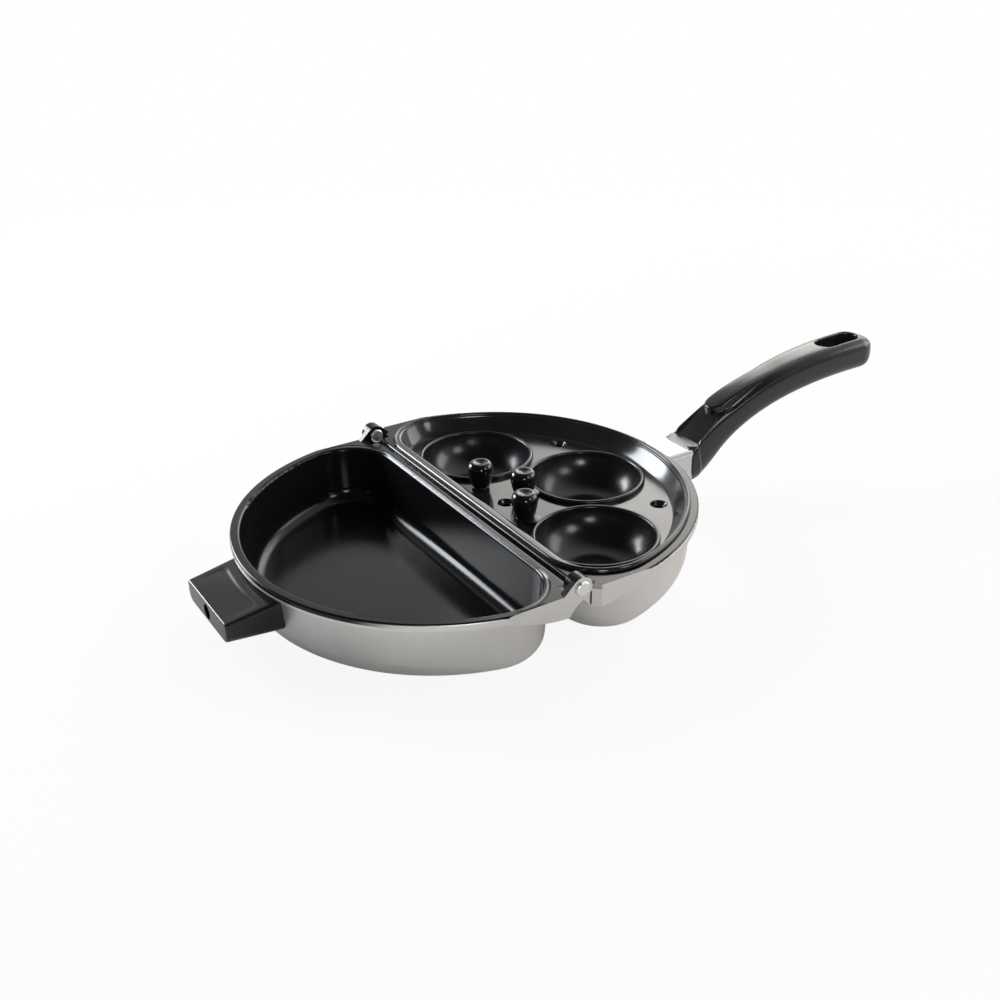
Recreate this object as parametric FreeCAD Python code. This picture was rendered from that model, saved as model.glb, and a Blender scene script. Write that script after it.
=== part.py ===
import FreeCAD, Part
import math
import os

V = FreeCAD.Vector

# Folding pan with an egg poaching insert, in millimetres and degrees, shown open.
# The poacher half stands at the origin, its handle towards +X and the hinge pins along Y.

# Both half pans
pan_height = 34.0
floor_thickness = 3.4
wall_thickness = 2.5
rim_overhang = 2.5
rim_thickness = 3.6
rim_edge_radius = 1.0
omelette_lip_radius = 1.6
flat_cut = 3.1
centre_offset = 13.0
hinge_gap = 1.2
straight_overhang = 2.5
straight_edge_radius = 1.4
inner_corner_radius = 25.0
omelette_rim_radius = 104.0
omelette_draft = 4.2
omelette_base_radius = 11.0
poacher_rim_extra = 4.0
poacher_draft = 5.6
poacher_base_radius = 12.0
hinge_to_origin = 60.0

# Hinge ears and rivets
hinge_rise = 1.5
ear_radius = 5.4
ear_thickness = 3.3
ear_gap = 0.3
ear_depth = 11.5
ear_notch = 6.6
ear_shoulder = 9.6
ear_root = 20.0
ear_lower_angle = 30.0
ear_sag = 1.0
apron_sag = 1.7
tail_room = 0.6
rivet_radius = 2.25
rivet_clearance = 0.06
rivet_play = 0.15
rivet_head_radius = 3.7
rivet_head_height = 1.2
rivet_head_round = 0.8
rivet_tail_radius = 3.2
rivet_tail_height = 1.4
rivet_tail_round = 0.8
rivet_dimple_radius = 1.5
rivet_dimple_bottom = 0.7
washer_radius = 4.3
washer_thickness = 0.8

# Poacher tray
tray_sheet = 0.8
tray_clearance = 0.7
tray_bead_width = 2.4
tray_bead_height = 1.9
tray_straight_flange = 4.3
tray_depth = 8.2
tray_wall_slope = 2.0
tray_corner_radius = 26.5
tray_bend_radius = 1.8
tray_bead_round = 0.9
seat_gap = 0.1
vent_radius = 2.2
vent_mouth_radius = 3.9
vent_wall_gap = 12.1
vent_front_offset = 10.8

# Egg cups and their knobs
cup_spacing_angle = 62.4
cup_gap = 2.7
cup_wall_gap = 4.6
cup_floor_gap = 4.7
cup_bottom_radius = 11.0
cup_bowl_sag = 5.1
cup_sheet = 1.0
cup_lip_width = 2.3
cup_lip_height = 2.2
cup_lip_round = 0.8
cup_hole_clearance = 0.4
knob_setback = 7.9
knob_radius = 6.2
knob_neck_radius = 5.3
knob_foot_radius = 4.9
knob_crown_radius = 4.7
knob_height = 13.2
knob_roll_height = 3.8
knob_dish = 1.1
knob_dish_radius = 2.2
knob_dish_sag = 0.2
knob_screw_radius = 1.4
knob_screw_length = 7.0
knob_screw_head_radius = 2.7
knob_screw_head = 1.0
tab_radius = 6.6

# Screws: fits in millimetres, and the crossed recess as shares of a head's radius and height
screw_fit = 0.05
screw_tip_room = 0.4
recess_span_share = 1.1
recess_width_share = 0.24
recess_depth_share = 0.25
head_round_share = 0.45

# Long handle and its ferrule
ferrule_reach = 19.5
ferrule_width = 24.0
ferrule_height = 18.4
ferrule_drop = 13.0
ferrule_sheet = 1.0
ferrule_edge_radius = 2.5
lug_width = 15.0
lug_height = 8.0
lug_into_handle = 13.0
lug_fit = 0.2
handle_front_width = 26.0
handle_front_height = 22.6
handle_waist_width = 21.5
handle_waist_height = 18.6
handle_end_width = 25.5
handle_end_height = 18.8
handle_bend = (31.0, 23.0)
handle_crest = (67.0, 39.0)
handle_tip = (139.5, 37.4)
handle_waist_at = 0.42
handle_upright_until = 0.15
handle_squareness = 0.36
handle_tip_round = 13.0
handle_belly = 4.2
handle_belly_at = 0.07
ledge_overlap = 1.6
ledge_length = 7.2
ledge_thickness = 1.1
ledge_edge_radius = 0.5
slope_width = 20.0
slope_angle = 38.0
slope_rail = 1.6
thumb_width = 13.5
thumb_rise = 2.6
thumb_corner_radius = 2.8
thumb_start = 0.30
thumb_end = 0.62
thumb_fade = 1.6
thumb_sink = 0.2
groove_width = 2.6
groove_depth = 1.6
groove_fade = 0.8
groove_lift = 0.1
groove_corner_radius = 1.3
hang_hole_length = 28.5
hang_hole_width = 12.6
hang_hole_margin = 10.5
handle_screw_radius = 2.0
handle_screw_head_radius = 3.8
handle_screw_head = 2.4
handle_screw_sink = 1.6
handle_screw_setback = 7.0
handle_screw_grip = 6.4

# Side handle
side_handle_reach = 20.0
side_handle_root = 10.0
side_handle_inner_width = 51.0
side_handle_outer_width = 47.5
side_handle_inner_height = 14.0
side_handle_outer_height = 9.6
side_handle_drop = 15.4
side_handle_top_edge = 1.7
side_handle_low_edge = 4.4
side_handle_end_edge = 1.5
side_panel_border = 4.5
side_panel_depth = 0.9
side_boss_width = 22.0
side_boss_height = 6.4
side_boss_length = 8.0
side_screw_radius = 1.8
side_screw_head_radius = 3.1
side_screw_head = 2.2
side_screw_bore_radius = 3.6
side_screw_sink = 6.0
side_screw_grip = 4.5

# Worked-out places, with x counted from the hinge axis towards the pan
poacher_rim_radius = omelette_rim_radius + poacher_rim_extra
hinge_height = pan_height + hinge_rise
ear_face = omelette_rim_radius - flat_cut
lap = ear_thickness + ear_gap
wall_straight = hinge_gap + straight_overhang
outer_corner_radius = inner_corner_radius + wall_thickness
rivet_bore_radius = rivet_radius + rivet_clearance
rim_reach = centre_offset + poacher_rim_radius
ferrule_end = rim_reach + ferrule_reach
ferrule_height_at = pan_height - ferrule_drop
tray_seat = pan_height + seat_gap
tray_floor = pan_height - tray_depth
tray_neck_radius = poacher_rim_radius - rim_overhang - wall_thickness - tray_clearance
tray_floor_radius = tray_neck_radius - tray_sheet - tray_wall_slope
vent_ring_radius = tray_floor_radius - vent_wall_gap
cup_seat = tray_floor + seat_gap
tab_top = cup_seat + cup_lip_height
tab_low = tab_top - cup_sheet
cup_reach = math.sin(math.radians(cup_spacing_angle / 2))
cup_ring_radius = (tray_floor_radius - cup_wall_gap + cup_gap / 2) / (1 + cup_reach)
cup_lip_radius = cup_ring_radius * cup_reach - cup_gap / 2
cup_radius = cup_lip_radius - cup_lip_width
knob_reach = cup_lip_radius + knob_setback
side_handle_end = centre_offset + omelette_rim_radius + side_handle_reach
side_handle_height_at = pan_height - side_handle_drop
side_screw_seat = side_handle_end - side_screw_sink - side_screw_head
side_screw_tip = centre_offset + omelette_rim_radius + wall_thickness - side_screw_grip
far = 400.0
tiny = 0.01

UP = V(0, 0, 1)
ALONG = V(1, 0, 0)
ACROSS = V(0, 1, 0)


def box(x, y, z):
    """A block from three (low, high) pairs."""
    return Part.makeBox(x[1] - x[0], y[1] - y[0], z[1] - z[0], V(x[0], y[0], z[0]))


def unit(vector):
    """A copy of the vector with length one."""
    return vector * (1.0 / vector.Length)


def bowed(start, end, sag, side):
    """An arc between two points whose middle stands off the straight line by sag towards a side."""
    return Part.Arc(start, (start + end) * 0.5 + unit(side) * sag, end).toShape()


def line(start, end):
    """A straight edge between two points."""
    return Part.LineSegment(start, end).toShape()


def disc(radius, height, foot, way):
    """A round disc that stands on its foot point along a way."""
    return Part.makeCylinder(radius, height, foot, way)


def rounded_disc(radius, height, foot, way, edge_radius):
    """A round disc whose far edge is rounded."""
    plain = disc(radius, height, foot, way)
    top = foot + way * height
    rim = [e for e in plain.Edges if e.Closed and abs((middle(e) - top).dot(way)) < tiny]
    return plain.makeFillet(edge_radius, rim)


def d_wire(radius, straight, corner, z):
    """A round wall about the pan's centre, closed by a straight side with two rounded corners."""
    centre = V(centre_offset, 0, z)
    span = radius - corner
    corner_x = straight + corner
    corner_y = math.sqrt(span ** 2 - (corner_x - centre_offset) ** 2)
    turns = []
    for side in (1, -1):
        knee = V(corner_x, side * corner_y, z)
        outward = (knee - centre) * (1.0 / span)
        bisector = unit(outward + V(-1, 0, 0))
        turns.append((centre + outward * radius, knee + bisector * corner, V(straight, side * corner_y, z)))
    (round_up, bend_up, line_up), (round_low, bend_low, line_low) = turns
    crown = centre + V(radius, 0, 0)
    return Part.Wire([Part.Arc(round_up, crown, round_low).toShape(),
                      Part.Arc(round_low, bend_low, line_low).toShape(),
                      line(line_low, line_up),
                      Part.Arc(line_up, bend_up, round_up).toShape()])


def d_plate(radius, straight, corner, low, high):
    """A flat D-shaped plate between two heights."""
    return Part.Face(d_wire(radius, straight, corner, low)).extrude(UP * (high - low))


def inset(outline, distance):
    """The radius, straight side and corner of a D-shaped outline drawn inwards by a distance."""
    radius, straight, corner = outline
    return radius - distance, straight + distance, corner - distance


def tapered_d(low_outline, low, high_outline, high, base_radius):
    """A D-shaped block between two outlines, with a rounded lower edge."""
    block = Part.makeLoft([d_wire(*low_outline, low), d_wire(*high_outline, high)], True, True)
    return block.makeFillet(base_radius, [e for e in block.Edges if e.BoundBox.ZMax < low + tiny])


def drafted_d(outline, low, high, draft, base_radius):
    """A D-shaped block with a given outline at the rim plane, narrowing downwards by a draft angle."""
    slope = math.tan(math.radians(draft))
    return tapered_d(inset(outline, (pan_height - low) * slope), low,
                     inset(outline, (pan_height - high) * slope), high, base_radius)


def ear(inner, outer):
    """An upright hinge ear between two distances along Y: a bored eye and a swept web down to the rim."""
    pin = V(0, inner, hinge_height)
    lower = math.radians(ear_lower_angle)
    reach = math.hypot(ear_shoulder, hinge_rise)
    upper = math.acos(ear_radius / reach) - math.asin(hinge_rise / reach)
    below = pin + V(-math.sin(lower), 0, -math.cos(lower)) * ear_radius
    above = pin + V(math.cos(upper), 0, math.sin(upper)) * ear_radius
    root = V(ear_notch, inner, pan_height - ear_depth)
    step = V(ear_notch, inner, pan_height)
    shoulder = V(ear_shoulder, inner, pan_height)
    outward = (root - below).cross(V(0, 1, 0))
    outline = Part.Wire([bowed(below, root, ear_sag, outward), line(root, step), line(step, shoulder),
                         line(shoulder, above), line(above, below)])
    web = Part.Face(outline).extrude(ACROSS * (outer - inner))
    eye = disc(ear_radius, outer - inner, pin, ACROSS)
    bore = disc(rivet_bore_radius, outer - inner, pin, ACROSS)
    return web.fuse([eye, apron(ear_notch + ear_root, inner, outer)]).cut(bore)


def apron(end, inner, outer):
    """An upright plate below the rim, deepest at the ear's notch and swept up to the rim at its end."""
    root = V(ear_notch, inner, pan_height - ear_depth)
    tip = V(end, inner, pan_height - rim_thickness)
    top = V(end, inner, pan_height)
    shoulder = V(ear_notch, inner, pan_height)
    outline = Part.Wire([bowed(root, tip, apron_sag, UP * -1), line(tip, top), line(top, shoulder),
                         line(shoulder, root)])
    return Part.Face(outline).extrude(ACROSS * (outer - inner))


def hinge_notch(start, flat):
    """Room at a hinge corner for the other half's ear, with its end sloped out to the pan's flat side."""
    spread = flat - ear_face
    corners = [V(-far, start, -far), V(ear_notch, start, -far), V(ear_notch, ear_face, -far),
               V(ear_notch + spread, flat, -far), V(ear_notch + spread, far, -far), V(-far, far, -far)]
    if spread < tiny:
        corners = [corners[i] for i in (0, 1, 4, 5)]
    outline = Part.Wire([line(a, b) for a, b in zip(corners, corners[1:] + corners[:1])])
    return Part.Face(outline).extrude(UP * (2 * far))


def mirrored_pair(shape):
    """The shape and its mirror image across the pan's middle plane."""
    return [shape, shape.mirror(V(0, 0, 0), ACROSS)]


def pan_outside(rim_radius, draft, base_radius):
    """The outside of a half pan below its rim, flattened where the ears stand."""
    flat = rim_radius - flat_cut
    outline = (rim_radius - rim_overhang, wall_straight, outer_corner_radius)
    block = drafted_d(outline, 0, pan_height, draft, base_radius)
    return block.common(box((-far, far), (-flat, flat), (-far, far)))


def half_pan(rim_radius, draft, base_radius, lip_radius, lug):
    """One cast half: drafted D-shaped well, flat rim, square hinge corners, lapped ears and a handle lug."""
    flat = rim_radius - flat_cut
    rim_low = pan_height - rim_thickness
    rim = disc(rim_radius, rim_thickness, V(centre_offset, 0, rim_low), UP)
    rim = rim.common(box((hinge_gap, far), (-flat, flat), (-far, far)))
    corners = box((hinge_gap, centre_offset), (-flat, flat), (rim_low, pan_height))
    shell = pan_outside(rim_radius, draft, base_radius).fuse([rim, corners])
    skirt = apron(centre_offset + math.sqrt(rim_radius ** 2 - flat ** 2), flat - ear_thickness, flat)
    notch_start = ear_face - ear_thickness - lap - washer_thickness - rivet_tail_height - tail_room
    shell = shell.fuse(mirrored_pair(skirt)).cut(mirrored_pair(hinge_notch(notch_start, flat)))
    ears = mirrored_pair(ear(ear_face - ear_thickness, ear_face))
    shell = shell.fuse(ears + [lug])
    inner_radius = rim_radius - rim_overhang - wall_thickness
    mouth = (inner_radius, wall_straight + wall_thickness, inner_corner_radius)
    well_top = pan_height + rim_thickness
    cavity = drafted_d(mouth, floor_thickness, well_top, draft, base_radius - wall_thickness)
    shell = shell.cut(cavity).removeSplitter()
    lip = d_wire(*mouth, pan_height)
    shell = shell.makeFillet(lip_radius, [e for e in shell.Edges if on_lip(e, lip)])
    shell = shell.makeFillet(rim_edge_radius, [e for e in shell.Edges if on_rim(e, rim_radius)])
    return shell.makeFillet(straight_edge_radius, [e for e in shell.Edges if on_hinge_side(e)])


def middle(edge):
    """The point half-way along an edge's parameter range."""
    return edge.valueAt((edge.FirstParameter + edge.LastParameter) / 2)


def at_rim_height(edge):
    """True for an edge that lies in the rim's upper plane."""
    return edge.BoundBox.ZMin > pan_height - tiny and edge.BoundBox.ZLength < tiny


def on_lip(edge, lip):
    """True for an edge where the well opens through the rim."""
    return at_rim_height(edge) and lip.distToShape(Part.Vertex(middle(edge)))[0] < tiny


def on_rim(edge, rim_radius):
    """True for the upper outside edge of the round rim."""
    point = middle(edge) - V(centre_offset, 0, pan_height)
    return at_rim_height(edge) and abs(point.Length - rim_radius) < tiny


def on_hinge_side(edge):
    """True for the upper edge of the rim's straight side, along the hinge."""
    on_side = abs(edge.BoundBox.XMin - hinge_gap) < tiny and edge.BoundBox.XLength < tiny
    return on_side and at_rim_height(edge)


def rivet(head_y, tail_y):
    """A hinge rivet along Y: a domed head, a rolled and dimpled tail, and the shank between them."""
    way = ACROSS if tail_y > head_y else ACROSS * -1
    head_at = V(0, head_y, hinge_height)
    tail_at = V(0, tail_y, hinge_height)
    shank = disc(rivet_radius, abs(tail_y - head_y), head_at, way)
    head = rounded_disc(rivet_head_radius, rivet_head_height, head_at, way * -1, rivet_head_round)
    tail = rounded_disc(rivet_tail_radius, rivet_tail_height, tail_at, way, rivet_tail_round)
    dimple = Part.makeCone(rivet_dimple_bottom, rivet_dimple_radius, rivet_tail_height, tail_at, way)
    return shank.fuse([head, tail]).cut(dimple)


def washer(low_y):
    """A flat washer round a rivet, from low_y towards +Y."""
    at = V(0, low_y, hinge_height)
    ring = disc(washer_radius, washer_thickness, at, ACROSS)
    return ring.cut(disc(rivet_bore_radius, washer_thickness, at, ACROSS))


def rounded_bar(x, width, height, z, radius):
    """A bar along X with rounded long edges, centred on y = 0 and height z."""
    bar = box(x, (-width / 2, width / 2), (z - height / 2, z + height / 2))
    return bar.makeFillet(radius, [e for e in bar.Edges if e.BoundBox.XLength > x[1] - x[0] - tiny])


def handle_lug():
    """The cast tongue that carries the long handle, from inside the pan wall to inside the handle."""
    start = centre_offset + poacher_rim_radius - 2 * wall_thickness - ferrule_drop
    return box((start, ferrule_end + lug_into_handle), (-lug_width / 2, lug_width / 2),
               (ferrule_height_at - lug_height / 2, ferrule_height_at + lug_height / 2))


def side_boss():
    """The cast tongue that carries the side handle."""
    start = centre_offset + omelette_rim_radius - 2 * wall_thickness - side_boss_length
    end = centre_offset + omelette_rim_radius - rim_overhang + side_boss_length
    half_width = side_boss_width / 2
    half_height = side_boss_height / 2
    return box((start, end), (-half_width, half_width),
               (side_handle_height_at - half_height, side_handle_height_at + half_height))


def grown(block, fit):
    """A rectangular block enlarged by a fit on every side."""
    b = block.BoundBox
    return box((b.XMin - fit, b.XMax + fit), (b.YMin - fit, b.YMax + fit), (b.ZMin - fit, b.ZMax + fit))


def ferrule():
    """The bright rectangular sleeve between the pan wall and the long handle."""
    reach = (rim_reach - ferrule_height, ferrule_end)
    sleeve = rounded_bar(reach, ferrule_width, ferrule_height, ferrule_height_at, ferrule_edge_radius)
    hollow = rounded_bar(reach, ferrule_width - 2 * ferrule_sheet, ferrule_height - 2 * ferrule_sheet,
                         ferrule_height_at, ferrule_edge_radius - ferrule_sheet)
    return sleeve.cut([hollow, pan_outside(poacher_rim_radius, poacher_draft, poacher_base_radius)])


def spine(t):
    """Point and slope of the long handle's curved middle line, t from 0 at the ferrule to 1 at the tip."""
    knots = ((0.0, 0.0), handle_bend, handle_crest, handle_tip)
    weights = ((1 - t) ** 3, 3 * t * (1 - t) ** 2, 3 * t * t * (1 - t), t ** 3)
    x = sum(w * k[0] for w, k in zip(weights, knots))
    z = sum(w * k[1] for w, k in zip(weights, knots))
    speeds = (3 * (1 - t) ** 2, 6 * t * (1 - t), 3 * t * t)
    legs = [(b[0] - a[0], b[1] - a[1]) for a, b in zip(knots, knots[1:])]
    run = sum(s * leg[0] for s, leg in zip(speeds, legs))
    rise = sum(s * leg[1] for s, leg in zip(speeds, legs))
    return V(ferrule_end + x, 0, ferrule_height_at + z), math.atan2(rise, run)


def along_handle(front, waist, end, t):
    """A size that runs from front through the waist to the end along the handle."""
    if t < handle_waist_at:
        return waist + (front - waist) * ((handle_waist_at - t) / handle_waist_at) ** 2
    share = (t - handle_waist_at) / (1 - handle_waist_at)
    return waist + (end - waist) * share * share * (3 - 2 * share)


def handle_width(t):
    """Width of the long handle across Y."""
    return along_handle(handle_front_width, handle_waist_width, handle_end_width, t)


def handle_height(t):
    """Height of the long handle square to its middle line."""
    return along_handle(handle_front_height, handle_waist_height, handle_end_height, t)


def handle_frame(t):
    """Middle point and upward normal of a section, upright at the ferrule and square to the line beyond."""
    point, slope = spine(t)
    tilt = slope * min(1.0, t / handle_upright_until)
    return point, V(-math.sin(tilt), 0, math.cos(tilt))


def rounded_section(point, normal, half_width, low, high, low_radius, high_radius):
    """A rounded rectangle across a grip, from low to high along the normal, square to Y and the normal."""
    upper = high - high_radius
    lower = low + low_radius
    knees = ((1, upper, high_radius, 0), (-1, upper, high_radius, 90),
             (-1, lower, low_radius, 180), (1, lower, low_radius, 270))
    arcs = []
    for side, level, radius, start in knees:
        knee = point + ACROSS * (side * (half_width - radius)) + normal * level
        turns = [math.radians(start + step) for step in (0, 45, 90)]
        arcs.append([knee + (ACROSS * math.cos(turn) + normal * math.sin(turn)) * radius for turn in turns])
    edges = []
    for arc, following in zip(arcs, arcs[1:] + arcs[:1]):
        edges.append(Part.Arc(*arc).toShape())
        edges.append(line(arc[2], following[0]))
    return Part.Wire(edges)


def belly(t):
    """How far the underside swells below the plain section just behind the ferrule."""
    share = t / handle_belly_at
    return handle_belly * share * math.exp(1 - share)


def tip_speed():
    """Length of middle line per unit of t at the tip."""
    return 3 * math.hypot(handle_tip[0] - handle_crest[0], handle_tip[1] - handle_crest[1])


def handle_body():
    """The curved grip, lofted through rounded sections that close in on a rounded tip."""
    tip_share = handle_tip_round / tip_speed()
    stations = [(t, 1.0) for t in (0.0, 0.07, 0.15, 0.26, 0.40, 0.55, 0.70, 0.83, 1 - tip_share)]
    for left in (0.62, 0.32, 0.12, 0.02):
        stations.append((1 - tip_share * left, math.sqrt(1 - (1 - left) ** 2)))
    sections = []
    for t, share in stations:
        point, normal = handle_frame(t)
        width = handle_width(t) * share
        height = handle_height(t) * share
        radius = min(width, height) * handle_squareness
        low = -height / 2 - belly(t)
        sections.append(rounded_section(point, normal, width / 2, low, height / 2, radius, radius))
    return Part.makeLoft(sections, True, False)


def top_strip(half_width, low, high, radius):
    """A strip along the thumb rest's stretch of the grip, between two heights that change along it."""
    sections = []
    steps = 5
    for i in range(steps + 1):
        share = i / steps
        t = thumb_start + (thumb_end - thumb_start) * share
        point, normal = handle_frame(t)
        top = handle_height(t) / 2
        levels = (top + low(share), top + high(share))
        sections.append(rounded_section(point, normal, half_width, *levels, radius, radius))
    return Part.makeLoft(sections, True, False)


def thumb_rest():
    """The raised tongue on the grip: round-nosed and highest in front, sinking into the grip behind."""
    tongue = top_strip(thumb_width / 2, lambda share: -handle_waist_height / 2,
                       lambda share: thumb_rise * (1 - share) ** thumb_fade - thumb_sink * share,
                       thumb_corner_radius)
    point, normal = handle_frame(thumb_start)
    height = handle_height(thumb_start) / 2 + thumb_rise
    nose = rounded_disc(thumb_width / 2, height, point, normal, thumb_corner_radius)
    behind = Part.makeBox(far, far, far, V(0, -far / 2, -far / 2))
    behind.Placement = FreeCAD.Placement(point, FreeCAD.Rotation(UP, normal))
    return tongue.fuse(nose.cut(behind))


def thumb_groove():
    """The trough that runs beside the thumb rest and fades out along the grip."""
    return top_strip(thumb_width / 2 + groove_width,
                     lambda share: groove_lift * share - groove_depth * (1 - share) ** groove_fade,
                     lambda share: handle_waist_height, groove_corner_radius)


def front_cuts():
    """The cuts that leave the flat front ledge and the sloping face between its two rails."""
    ledge_top = ferrule_height_at + ferrule_height / 2 + ledge_thickness
    ledge_end = ferrule_end - ledge_overlap + ledge_length
    above_ledge = box((ferrule_end - far, ledge_end), (-far, far), (ledge_top, far))
    before_thumb = box((ledge_end - far, handle_frame(thumb_start)[0].x), (-far, far), (-far, far))
    cuts = [above_ledge]
    for width, lift in ((slope_width, 0), (far, slope_rail)):
        slope = Part.makeBox(far, width, far, V(0, -width / 2, lift))
        turn = FreeCAD.Rotation(ACROSS, -slope_angle)
        slope.Placement = FreeCAD.Placement(V(ledge_end, 0, ledge_top), turn)
        cuts.append(slope.common(before_thumb))
    return cuts


def front_ledge():
    """The flat lip at the handle's front that laps over the ferrule."""
    low = ferrule_height_at + ferrule_height / 2
    start = ferrule_end - ledge_overlap
    half_width = handle_front_width / 2
    ledge = box((start, start + ledge_length), (-half_width, half_width), (low, low + ledge_thickness))
    return ledge.makeFillet(ledge_edge_radius, [e for e in ledge.Edges if e.BoundBox.XMax < start + tiny])


def long_handle():
    """The moulded grip with its ledge, sunk slope, thumb rest, hang hole, lug socket and screw hole."""
    body = handle_body().cut(front_cuts() + [thumb_groove()])
    body = body.fuse([thumb_rest(), front_ledge()])
    socket = grown(handle_lug(), lug_fit)
    return body.cut([socket, hang_hole()] + handle_screw_holes())


def hang_hole():
    """A long slot through the handle near its tip, square to the middle line."""
    point, normal = handle_frame(1 - (hang_hole_margin + hang_hole_length / 2) / tip_speed())
    forward = ACROSS.cross(normal)
    radius = hang_hole_width / 2
    half = hang_hole_length / 2 - radius
    start = point - normal * handle_end_height
    length = 2 * handle_end_height
    ends = [disc(radius, length, start + forward * shift, normal) for shift in (half, -half)]
    bar = Part.makeBox(2 * half, hang_hole_width, length)
    corner = start - forward * half - ACROSS * radius
    bar.Placement = FreeCAD.Placement(corner, FreeCAD.Rotation(UP, normal))
    return ends[0].fuse([ends[1], bar])


def handle_screw_place():
    """Where the long handle's screw comes in from below: its place, its head's seat and the lug above it."""
    x = ferrule_end + handle_screw_setback
    lug_low = ferrule_height_at - lug_height / 2
    seat = ferrule_height_at - handle_front_height / 2 + handle_screw_sink + handle_screw_head
    return x, seat, lug_low


def handle_screw_holes():
    """Shank hole and head recess for the long handle's screw."""
    x, seat, lug_low = handle_screw_place()
    shank = disc(handle_screw_radius + screw_fit, lug_low - seat, V(x, 0, seat), UP)
    recess = disc(handle_screw_head_radius + lug_fit, far, V(x, 0, seat - far), UP)
    return [shank, recess]


def handle_screw():
    """Round-headed screw from the underside of the long handle into the cast lug."""
    x, seat, lug_low = handle_screw_place()
    shank = disc(handle_screw_radius, lug_low + handle_screw_grip - seat, V(x, 0, seat), UP)
    return shank.fuse(screw_head(V(x, 0, seat), UP * -1, handle_screw_head_radius, handle_screw_head))


def lug_screw_hole():
    """Threaded hole in the long handle's lug, drawn at the screw's size."""
    x, seat, lug_low = handle_screw_place()
    return disc(handle_screw_radius + screw_fit, handle_screw_grip + screw_tip_room, V(x, 0, lug_low), UP)


def screw_head(seat, way, radius, height):
    """A round screw head that stands on its seat, with a crossed recess in its top."""
    head = rounded_disc(radius, height, seat, way, height * head_round_share)
    span = radius * recess_span_share
    width = radius * recess_width_share
    depth = height * recess_depth_share
    turn = FreeCAD.Rotation(UP, way)
    slots = []
    for along, across in ((span, width), (width, span)):
        slot = Part.makeBox(along, across, 2 * depth)
        corner = turn.multVec(V(-along / 2, -across / 2, -depth))
        slot.Placement = FreeCAD.Placement(seat + way * height + corner, turn)
        slots.append(slot)
    return head.cut(slots)


def side_block():
    """The outer form of the side handle: tapered, sharp above, well rounded below and soft at its end."""
    start = centre_offset + omelette_rim_radius - side_handle_root
    ends = ((start, side_handle_inner_width, side_handle_inner_height),
            (side_handle_end, side_handle_outer_width, side_handle_outer_height))
    wires = [rounded_section(V(x, 0, side_handle_height_at), UP, width / 2, -height / 2, height / 2,
                             side_handle_low_edge, side_handle_top_edge) for x, width, height in ends]
    block = Part.makeLoft(wires, True, True)
    return block.makeFillet(side_handle_end_edge,
                            [e for e in block.Edges if e.BoundBox.XMin > side_handle_end - tiny])


def side_panel():
    """The shallow recess in the side handle's top, framed on three sides and open at the end."""
    length = side_handle_reach + side_handle_root
    fall = (side_handle_inner_height - side_handle_outer_height) / 2 / length
    top = side_handle_height_at + side_handle_inner_height / 2 - fall * side_handle_root
    half_width = side_handle_outer_width / 2 - side_panel_border
    panel = box((0, far), (-half_width, half_width), (-side_panel_depth, far))
    corners = [e for e in panel.Edges if e.BoundBox.ZLength > far and e.BoundBox.XMax < tiny]
    panel = panel.makeFillet(side_panel_border, corners)
    tilt = FreeCAD.Rotation(ACROSS, math.degrees(math.atan(fall)))
    panel.Placement = FreeCAD.Placement(V(centre_offset + omelette_rim_radius, 0, top), tilt)
    return panel


def side_handle():
    """The short moulded grip with its sunk top panel, boss socket and screw hole."""
    wall = pan_outside(omelette_rim_radius, omelette_draft, omelette_base_radius)
    socket = grown(side_boss(), lug_fit)
    seat = V(side_screw_seat, 0, side_handle_height_at)
    bore = disc(side_screw_bore_radius, far, seat, ALONG)
    shank = disc(side_screw_radius + screw_fit, far, seat, ALONG * -1)
    return side_block().cut([side_panel(), wall, socket, bore, shank])


def side_screw():
    """Screw that draws the side handle onto its boss."""
    seat = V(side_screw_seat, 0, side_handle_height_at)
    shank = disc(side_screw_radius, side_screw_seat - side_screw_tip, seat, ALONG * -1)
    return shank.fuse(screw_head(seat, ALONG, side_screw_head_radius, side_screw_head))


def boss_screw_hole():
    """Threaded hole in the side handle's boss, drawn at the screw's size."""
    tip = V(side_screw_tip - screw_tip_room, 0, side_handle_height_at)
    return disc(side_screw_radius + screw_fit, far, tip, ALONG)


def cup_places():
    """Name, angle about the pan's centre and middle point of each cup."""
    places = []
    for name, turns in (("front", -1), ("middle", 0), ("back", 1)):
        angle = turns * cup_spacing_angle
        way = V(math.cos(math.radians(angle)), math.sin(math.radians(angle)), 0)
        places.append((name, angle, V(centre_offset, 0, 0) + way * cup_ring_radius))
    return places


def vent_places():
    """Middle points of the steam vents: one before the knobs, and one between each two cups."""
    places = [V(centre_offset + vent_front_offset, 0, tray_floor)]
    for side in (1, -1):
        angle = math.radians(side * cup_spacing_angle / 2)
        way = V(math.cos(angle), math.sin(angle), 0)
        places.append(V(centre_offset, 0, tray_floor) + way * vent_ring_radius)
    return places


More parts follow.
